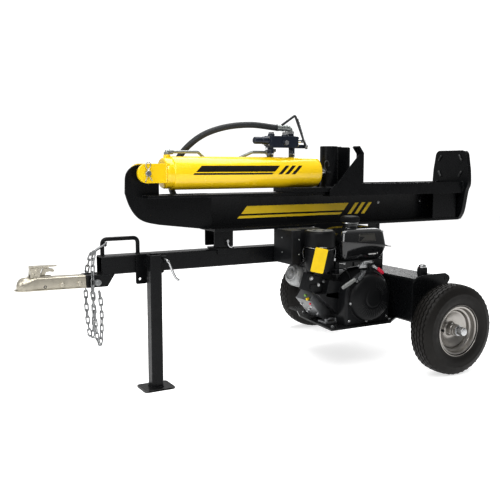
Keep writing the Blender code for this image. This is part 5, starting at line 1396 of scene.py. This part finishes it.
def guard_outline(inset):
    """An L from above, with its short leg in front of the air cleaner."""
    front, step, back = -0.63 + inset, -0.578 - inset, -0.44 - inset
    near, middle, far = -0.205 + inset, -0.156 + inset, -0.045 - inset
    return rounded(
        [(front, near), (step, near), (step, middle), (back, middle), (back, far), (front, far)], 0.006,
        4)


def build_muffler():
    low, high, wall = 0.495, 0.649, 0.002
    guard = Shape()
    outer, inner = guard_outline(0.0), guard_outline(wall)
    guard.skin(
        [[Vector((a[0], a[1], low)), Vector((a[0], a[1], high - 0.003)),
        Vector((b[0], b[1], high - 0.0004)), Vector((b[0], b[1], low))] for a, b in zip(outer, inner)],
        loop=True)
    guard.piece("muffler_guard_walls", "chassis", "engine_black", ["muffler_guard"], sharp=40)
    holes = []
    for column in range(12):
        for row in range(7):
            place = (-0.617 + column * 0.0145, -0.14 + row * 0.0135 + (column % 2) * 0.0067)
            if place[0] < -0.452 and place[1] < -0.056:
                holes.append((*place, 0.0034))
    perforated(
        "muffler_guard_top", [(p[0], p[1]) for p in guard_outline(0.0012)], holes, high - 0.0022,
        high - 0.0004, "chassis", "grey_metal")
    shield = Shape()
    shield.prism(
        rounded([(-0.436, 0.56), (-0.186, 0.56), (-0.186, 0.666), (-0.436, 0.666)], 0.012, 4), -0.0975,
        -0.0945, "Y")
    shield.piece("heat_shield", "chassis", "engine_black")
    silencer = Shape()
    silencer.box((-0.615, -0.142, 0.5), (-0.455, -0.058, 0.628))
    silencer.rod((-0.535, -0.06, 0.56), (-0.535, -0.03, 0.56), 0.014)
    silencer.piece("muffler_body", "chassis", "dark_steel", bevel=0.012, segments=4)
    screws = Shape()
    for z in (0.607, 0.54):
        screws.screw((-0.592, -0.205, z), NEARWARD, 0.0036)
        screws.screw((-0.63, -0.12, z + 0.004), FORWARD, 0.0036)
    screws.piece("guard_screws", "chassis", "pipe_zinc")


def superellipse(half_wide, half_tall, power, steps=48):
    ring = []
    for step in range(steps):
        a = math.tau * step / steps
        c, s = math.cos(a), math.sin(a)
        ring.append(
            (half_wide * math.copysign(abs(c) ** (2 / power), c),
            half_tall * math.copysign(abs(s) ** (2 / power), s)))
    return ring


def build_cylinder_head():
    """The rocker cover, the finned barrel behind it and the crankcase they stand on, on the tilted axis."""
    out = Vector((-math.cos(ENGINE_TILT), 0, math.sin(ENGINE_TILT)))
    up = Vector((math.sin(ENGINE_TILT), 0, math.cos(ENGINE_TILT)))
    across = Vector(FARWARD)
    heart = Vector((-0.564, -0.109, 0.439))

    def level(distance, wide, tall, power=3.0):
        return [heart + out * distance + across * y + up * z for y, z in superellipse(wide, tall, power)]
    cover = Shape()
    cover.skin(
        [level(-0.036, 0.06, 0.053, 4.0), level(-0.034, 0.0615, 0.0545, 4.0),
        level(-0.024, 0.0615, 0.0545, 4.0), level(-0.023, 0.056, 0.05, 2.8),
        level(-0.002, 0.054, 0.0485, 2.4), level(0.006, 0.05, 0.045, 2.3),
        level(0.009, 0.045, 0.04, 2.2)])
    cover.skin(
        [level(0.008, 0.039, 0.034, 2.1), level(0.0125, 0.038, 0.033, 2.1),
        level(0.013, 0.034, 0.029, 2.1), level(0.0105, 0.032, 0.027, 2.1)])
    cover.skin(
        [level(0.01, 0.019, 0.015, 2.0), level(0.015, 0.018, 0.014, 2.0),
        level(0.0155, 0.016, 0.012, 2.0)])
    for y, z in ((-0.05, -0.036), (0.05, -0.036), (-0.05, 0.036), (0.05, 0.036)):
        cover.bolt(heart + out * -0.023 + across * y + up * z, out, 0.01)
    cover.piece("rocker_cover_cast", "chassis", "cast_alloy", ["rocker_cover"], sharp=32)

    fins = Shape()
    for number in range(9):
        centre = heart + out * (-0.044 - 0.0105 * number) + across * 0.005
        rings = []
        for lift in (-0.0014, 0.0014):
            rings.append(
                [centre + out * lift + across * y + up * z
                for y, z in superellipse(0.058, 0.05, 5.0, 32)])
        fins.skin(rings)
    fins.rod(heart + out * -0.036, heart + out * -0.148, 0.04)
    fins.piece("cylinder_fins", "chassis", "cast_alloy")

    case = Shape()
    case.box((-0.385, -0.21, 0.213), (-0.175, -0.05, 0.43))
    barrel_turn = Matrix.Rotation(ENGINE_TILT, 4, "Y")
    case.box((-0.5, -0.175, 0.345), (-0.33, -0.055, 0.43), barrel_turn)
    case.box((-0.468, -0.245, 0.212), (-0.39, -0.18, 0.223))
    for x, y in ((-0.456, -0.233), (-0.402, -0.233)):
        case.rod((x, y, 0.2125), (x, y, 0.236), 0.0105, 0.009)
    case.sweep(
        [(-0.448, -0.228, 0.225), (-0.438, -0.231, 0.233), (-0.42, -0.231, 0.234),
        (-0.41, -0.228, 0.226)], 0.006, 12)
    cover_outline = rounded(
        [(-0.38, 0.218), (-0.448, 0.23), (-0.52, 0.315), (-0.48, 0.37), (-0.38, 0.39)], 0.014, 4)
    case.prism(cover_outline, -0.185, -0.07, "Y")
    case.prism(
        [(-0.39, 0.214), (-0.444, 0.226), (-0.52, 0.316), (-0.51, 0.322), (-0.44, 0.236), (-0.39, 0.224)],
        -0.191, -0.064, "Y")
    for x in (-0.37, -0.19):
        case.rod((x, -0.212, 0.226), (x, -0.212, 0.212), 0.015)
        case.box((x - 0.018, -0.215, 0.2125), (x + 0.018, -0.19, 0.23))
    for z in (0.262, 0.29, 0.318):
        case.box((-0.408, -0.185, z), (-0.402, -0.08, z + 0.004))
    case.piece("crankcase_cast", "chassis", "grey_metal", ["crankcase"], bevel=0.006, segments=3)

    spots = Shape()
    slope = Vector((-0.76, 0, -0.65))
    spots.rod((-0.517, -0.17, 0.325), (-0.527, -0.172, 0.323), 0.007, 0.0062)
    spots.use(1)
    spots.rod((-0.515, -0.15, 0.338), (-0.524, -0.152, 0.338), 0.006)
    spots.use(2)
    spots.rod((-0.506, -0.178, 0.305), (-0.514, -0.18, 0.301), 0.005)
    spots.use(3)
    for y, share in ((-0.17, 0.3), (-0.088, 0.3), (-0.129, 0.55), (-0.17, 0.8), (-0.088, 0.8)):
        spots.bolt(Vector((-0.518, y, 0.314)).lerp(Vector((-0.447, y, 0.231)), share), slope, 0.013)
    for x in (-0.37, -0.19):
        spots.bolt((x, -0.215, 0.23), UP, 0.014)
        spots.bolt((x, -0.075, 0.213), UP, 0.014)
    spots.piece(
        "crankcase_fittings", "chassis", ["tag_yellow", "signal_green", "red_rubber", "bright_zinc"],
        sharp=32)

    carb = Shape()
    low, high = box("carburettor")
    carb.box((low.x, low.y, low.z + 0.012), (high.x, high.y, high.z))
    carb.lathe(
        [(0, 0.013), (0.0175, 0.013), (0.018, 0.011), (0.018, 0.003), (0.015, 0.0), (0, 0.0)],
        (-0.414, -0.15, low.z), UP, 32)
    carb.rod((low.x - 0.012, -0.148, 0.478), (low.x, -0.148, 0.478), 0.017)
    carb.screw((low.x + 0.012, low.y - 0.0005, 0.485), NEARWARD, 0.004)
    carb.screw((low.x + 0.034, low.y - 0.0005, 0.485), NEARWARD, 0.004)
    carb.piece("carburettor_body", "chassis", "cast_alloy", ["carburettor"], bevel=0.0025)


def build_blower():
    front, back = -0.314, -0.22
    ground = 0.212
    housing = Shape()
    dome = arc((CRANK_X, CRANK_Z), 0.127, -2, 182, 40)
    outline = [(CRANK_X + 0.127, ground)] + dome + [(CRANK_X - 0.127, ground)]

    def scaled(share):
        """The outline drawn in or out about the crankshaft, with its foot left on the plate."""
        return [
            (CRANK_X + (x - CRANK_X) * share,
            CRANK_Z + (z - CRANK_Z) * (share if z > ground + 0.01 else 1.0)) for x, z in outline]
    tight, collar = scaled(0.93), scaled(1.015)
    rings = []
    for shape_outline, y in (
            (tight, front), (outline, front + 0.01), (outline, back + 0.012), (collar, back + 0.01),
            (collar, back)):
        rings.append([Vector((x, y, z)) for x, z in shape_outline])
    housing.skin(rings)
    turn = Matrix.Rotation(ENGINE_TILT, 4, "Y")
    housing.box((-0.568, -0.219, 0.348), (-0.392, -0.18, 0.428), turn)
    housing.box(
        (-0.47, -0.256, 0.333), (-0.384, -0.208, 0.412), Matrix.Rotation(ENGINE_TILT * 0.7, 4, "Y"))
    skirt = [(-0.385, 0.232), (-0.385, 0.36), (-0.52, 0.36), (-0.5, 0.34)]
    housing.prism(rounded(skirt, 0.008, 3), -0.256, -0.214, "Y")
    apron = [(-0.38, 0.236), (-0.38, 0.4), (-0.541, 0.4), (-0.541, 0.378), (-0.467, 0.315)]
    housing.prism(rounded(apron, 0.006, 3), -0.225, -0.187, "Y")
    housing.box((-0.275, front, 0.45), (-0.252, front + 0.012, 0.49))
    housing.piece(
        "blower_shell", "chassis", "engine_black", ["blower_housing"], bevel=0.007, segments=4, sharp=38)

    cover = Shape()
    centre = (CRANK_X, front - 0.0003, CRANK_Z)
    cover.lathe(
        [(0, 0.04), (0.033, 0.04), (0.04, 0.0392), (0.043, 0.0372), (0.056, 0.0372), (0.07, 0.0352),
        (0.086, 0.0312), (0.098, 0.0262), (0.106, 0.019), (0.11, 0.01), (0.111, 0.003), (0.118, 0.0022),
        (0.118, 0.0), (0.112, 0.0), (0.08, 0.026), (0, 0.032)], centre, NEARWARD, 96)
    for degrees in COVER_LUGS:
        spot = on_crank(degrees, COVER_LUG_RADIUS, front)
        cover.rod(spot + Vector((0, 0.002, 0)), spot - Vector((0, 0.007, 0)), 0.0115, 0.0095)
    cover.piece("recoil_cover_shell", "chassis", "black_plastic", ["recoil_cover"], sharp=28)

    vents = Shape()
    inner, outer = 0.05, 0.09
    for first, last in ((205, 340), (15, 75)):
        count = round((last - first) / 9)
        for number in range(count + 1):
            degrees = first + (last - first) * number / count
            start = on_crank(degrees, inner, front - 0.0385)
            end = on_crank(degrees, outer, front - 0.0302)
            vents.sweep(
                [start, start.lerp(end, 0.1), start.lerp(end, 0.9), end],
                lambda t: 0.0016 if 0.05 < t < 0.95 else 0.0008, 8)
    vents.piece("recoil_vent_ribs", "chassis", "engine_black")

    spring = Shape()
    ends = (Vector((-0.364, -0.335, 0.419)), Vector((-0.324, -0.335, 0.458)))
    along = (ends[1] - ends[0]).normalized()
    across = along.cross(Vector(FARWARD))
    coil = []
    for step in range(12 * 8 + 1):
        angle = math.tau * step / 12
        ring = across * math.cos(angle) + Vector(FARWARD) * math.sin(angle)
        coil.append(ends[0].lerp(ends[1], 0.1 + 0.8 * step / (12 * 8)) + ring * 0.0095)
    spring.sweep(coil, 0.0015, 8)
    spring.rod(ends[0] - along * 0.008, ends[1] + along * 0.008, 0.0026, sides=16)
    for end in ends:
        spring.box(end + Vector((-0.004, -0.005, -0.006)), end + Vector((0.004, 0.022, 0.006)))
    spring.piece("governor_spring", "chassis", "grey_metal")

    grip = Shape()
    ends = (Vector((-0.472, -0.372, 0.402)), Vector((-0.402, -0.372, 0.436)))
    path = [ends[0].lerp(ends[1], step / 16) for step in range(17)]
    grip.sweep(path, lambda t: 0.0068 + 0.0028 * math.sin(math.pi * min(1.0, max(0.0, t))) ** 0.5, 18)
    grip.piece("recoil_handle", "recoil_grip", "grey_plastic", ["recoil_grip"], bevel=0.0012)
    mouth = Vector((-0.398, -0.324, 0.408))
    middle = ends[0].lerp(ends[1], 0.5)
    cord = Shape()
    cord.sweep([mouth.lerp(middle, step / 12) for step in range(13)], 0.0022, 8)
    rope = cord.piece("recoil_cord", None, "cord")
    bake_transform(rope)
    guide = Shape()
    guide.lathe(
        [(0.0035, 0.0), (0.0095, 0.0), (0.0105, -0.003), (0.0105, -0.022), (0.0035, -0.022)], mouth,
        middle - mouth, 24)
    guide.piece("cord_guide", "chassis", "black_plastic")

    bolts = Shape()
    for degrees in COVER_LUGS:
        bolts.bolt(on_crank(degrees, COVER_LUG_RADIUS, front - 0.007), NEARWARD, 0.011)
    for x, z in ((-0.535, 0.429), (-0.464, 0.409), (-0.497, 0.395)):
        bolts.bolt((x, -0.219, z), NEARWARD, 0.013)
    for x, z in ((-0.172, 0.234), (-0.39, 0.234)):
        bolts.bolt((x, front + 0.004, z), NEARWARD, 0.012)
    bolts.piece("blower_bolts", "chassis", "bright_zinc", sharp=32)


def build_controls():
    front = -0.314
    lever_y = front - 0.01
    lever = Shape()
    lever.rod((-0.262, front - 0.0005, 0.478), (-0.262, front - 0.014, 0.478), 0.008)
    lever.prism(
        rounded([(-0.262, 0.472), (-0.228, 0.452), (-0.222, 0.459), (-0.258, 0.484)], 0.002, 2),
        lever_y - 0.002, lever_y + 0.002, "Y")
    lever.use(1)
    lever.sweep(
        [Vector((-0.238, lever_y, 0.467)).lerp(Vector((-0.206, lever_y, 0.4415)), step / 8)
        for step in range(9)], lambda t: 0.0088 if 0.05 < t < 0.95 else 0.007, 18)
    lever.piece(
        "throttle_arm", "throttle", ["bright_zinc", "red_rubber"], ["throttle_lever"], bevel=0.0006)

    links = Shape()
    links.prism(
        rounded([(-0.33, 0.47), (-0.25, 0.47), (-0.25, 0.502), (-0.3, 0.502)], 0.004), front + 0.014,
        front + 0.0165, "Y")
    spring = []
    for step in range(145):
        t = step / 144
        angle = t * math.tau * 12
        spring.append(
            (-0.345 + 0.06 * t, front + 0.004 + 0.0045 * math.cos(angle),
            0.483 + 0.012 * t + 0.0045 * math.sin(angle)))
    links.sweep(spring, 0.0008, 6)
    links.sweep(
        smooth_path([(-0.395, front + 0.01, 0.478), (-0.36, front + 0.006, 0.482),
        (-0.345, front + 0.004, 0.4835)], 4), 0.0012, 8)
    links.sweep(
        smooth_path([(-0.285, front + 0.004, 0.495), (-0.262, front + 0.0, 0.493),
        (-0.245, front + 0.01, 0.498)], 4), 0.0012, 8)
    links.bolt((-0.3, front + 0.014, 0.49), NEARWARD, 0.01)
    links.bolt((-0.262, front - 0.0142, 0.478), NEARWARD, 0.009)
    links.piece("control_linkage", "chassis", "bright_zinc", bevel=0.0004)

    wire = Shape()
    wire.sweep(
        smooth_path([(-0.5, -0.19, 0.455), (-0.47, -0.222, 0.45), (-0.43, -0.236, 0.462),
        (-0.4, -0.27, 0.47), (-0.38, -0.29, 0.45), (-0.372, -0.3, 0.42)], 8), 0.0028, 10)
    wire.sweep(
        smooth_path([(-0.56, -0.165, 0.48), (-0.548, -0.19, 0.5), (-0.52, -0.205, 0.47),
        (-0.47, -0.215, 0.44)], 8), 0.0035, 10)
    wire.piece("ignition_lead", "chassis", "black_plastic")


def build_driveline():
    refinish("dark_steel", "crankshaft", "flywheel")
    refinish("cast_alloy", "pump_housing", "hydraulic_pump")
    bolts = Shape()
    flange_radius, flange_y = 0.06, -0.0355
    for degrees in (45, 135, 225, 315):
        bolts.bolt(on_crank(degrees, flange_radius, flange_y), FARWARD, 0.012)
    low, high = box("hydraulic_pump")
    for x in (low.x + 0.012, low.x + 0.078):
        for z in (low.z + 0.012, high.z - 0.022):
            bolts.bolt((x, high.y, z), FARWARD, 0.013)
    bolts.piece("pump_bolts", "chassis", "bright_zinc", sharp=32)
    plate_bolts = Shape()
    for x, y in ((-0.145, -0.3), (-0.075, -0.24), (-0.47, -0.3), (-0.41, 0.03)):
        plate_bolts.bolt((x, y, 0.2117), UP, 0.013)
    plate_bolts.piece("plate_bolts", "chassis", "bright_zinc", sharp=32)


# ---- studio ----
def build_studio():
    floor = Shape()
    floor.box((-9.0, -9.0, -0.03), (9.0, 9.0, 0.0))
    bmesh.ops.recalc_face_normals(floor.bm, faces=floor.bm.faces)
    mesh = bpy.data.meshes.new("studio_floor")
    floor.bm.to_mesh(mesh)
    floor.bm.free()
    paper = make_finish(
        "floor", (0.62, 0.62, 0.62), 0.8, mottle=0.01, mottle_scale=1.5, uneven=0.03, grain=40.0,
        shine=0.2)
    glow = paper.node_tree.nodes["Principled BSDF"]
    glow.inputs["Emission Color"].default_value = (1.0, 1.0, 1.0, 1.0)
    glow.inputs["Emission Strength"].default_value = 0.62
    mesh.materials.append(paper)
    ground = bpy.data.objects.new("studio_floor", mesh)
    bpy.context.scene.collection.objects.link(ground)

    world = bpy.data.worlds.new("studio")
    world.use_nodes = True
    tree = world.node_tree
    background = tree.nodes["Background"]
    incoming = add(tree, "NewGeometry").outputs["Incoming"]
    up = add(tree, "SeparateXYZ", {0: incoming}).outputs["Z"]
    sky = between(tree, up, -0.9, 0.4, 0.85, 0.3)
    behind = add(tree, "VectorMath", {0: incoming, 1: (-0.48, -0.87, 0.0)}, operation="DOT_PRODUCT").outputs[
        "Value"]
    backdrop = between(tree, behind, -0.5, 0.7, 0.3, 1.0)
    soft = multiply(tree, sky, backdrop)
    seen = add(tree, "LightPath").outputs["Is Camera Ray"]
    level = add(tree, "Mix", {0: seen, 2: soft, 3: 1.0}).outputs[0]
    wire(tree, background.inputs["Strength"], level)
    background.inputs["Color"].default_value = (1.0, 1.0, 1.0, 1.0)
    bpy.context.scene.world = world

    middle = (cad_low + cad_high) / 2
    for name, offset, size, power in (
            ("key_softbox", (-1.8, -2.6, 3.0), 2.4, 95.0), ("top_softbox", (0.3, 0.4, 3.4), 3.0, 100.0),
            ("rim_softbox", (2.6, 1.8, 1.6), 1.8, 40.0), ("front_fill", (-3.2, -0.4, 1.2), 2.0, 30.0)):
        light = bpy.data.lights.new(name, "AREA")
        light.shape = "SQUARE"
        light.size = size
        light.energy = power
        lamp = bpy.data.objects.new(name, light)
        lamp.location = middle + Vector(offset)
        lamp.rotation_euler = (-Vector(offset)).to_track_quat("-Z", "Y").to_euler()
        bpy.context.scene.collection.objects.link(lamp)
    view = bpy.context.scene.view_settings
    view.view_transform = "Standard"
    view.exposure = 0.15
    view.gamma = 0.82


def build_camera():
    """A little above the beam's height, in front and to the engine's side, looking gently down."""
    eye = AXLE + Vector((-2.31, -2.857, 0.944))
    azimuth, pitch = math.radians(28.93), math.radians(6.94)
    forward = Vector(
        (math.sin(azimuth) * math.cos(pitch), math.cos(azimuth) * math.cos(pitch), -math.sin(pitch)))
    camera = bpy.data.objects.new("camera", bpy.data.cameras.new("camera"))
    camera.data.lens = 50.83
    camera.data.sensor_width = 36.0
    camera.location = eye
    camera.rotation_euler = forward.to_track_quat("-Z", "Y").to_euler()
    bpy.context.scene.collection.objects.link(camera)
    bpy.context.scene.camera = camera


build_wheel("near", NEAR)
build_wheel("far", FAR)
for build in (
        build_chains, build_coupler, build_tongue, build_beam, build_footplate, build_rails,
        build_cylinder, build_pipe, build_ram, build_valve, build_hoses, build_tank, build_fuel_tank,
        build_air_cleaner, build_muffler, build_cylinder_head, build_blower, build_controls,
        build_driveline, build_studio, build_camera):
    build()

bpy.context.view_layer.update()
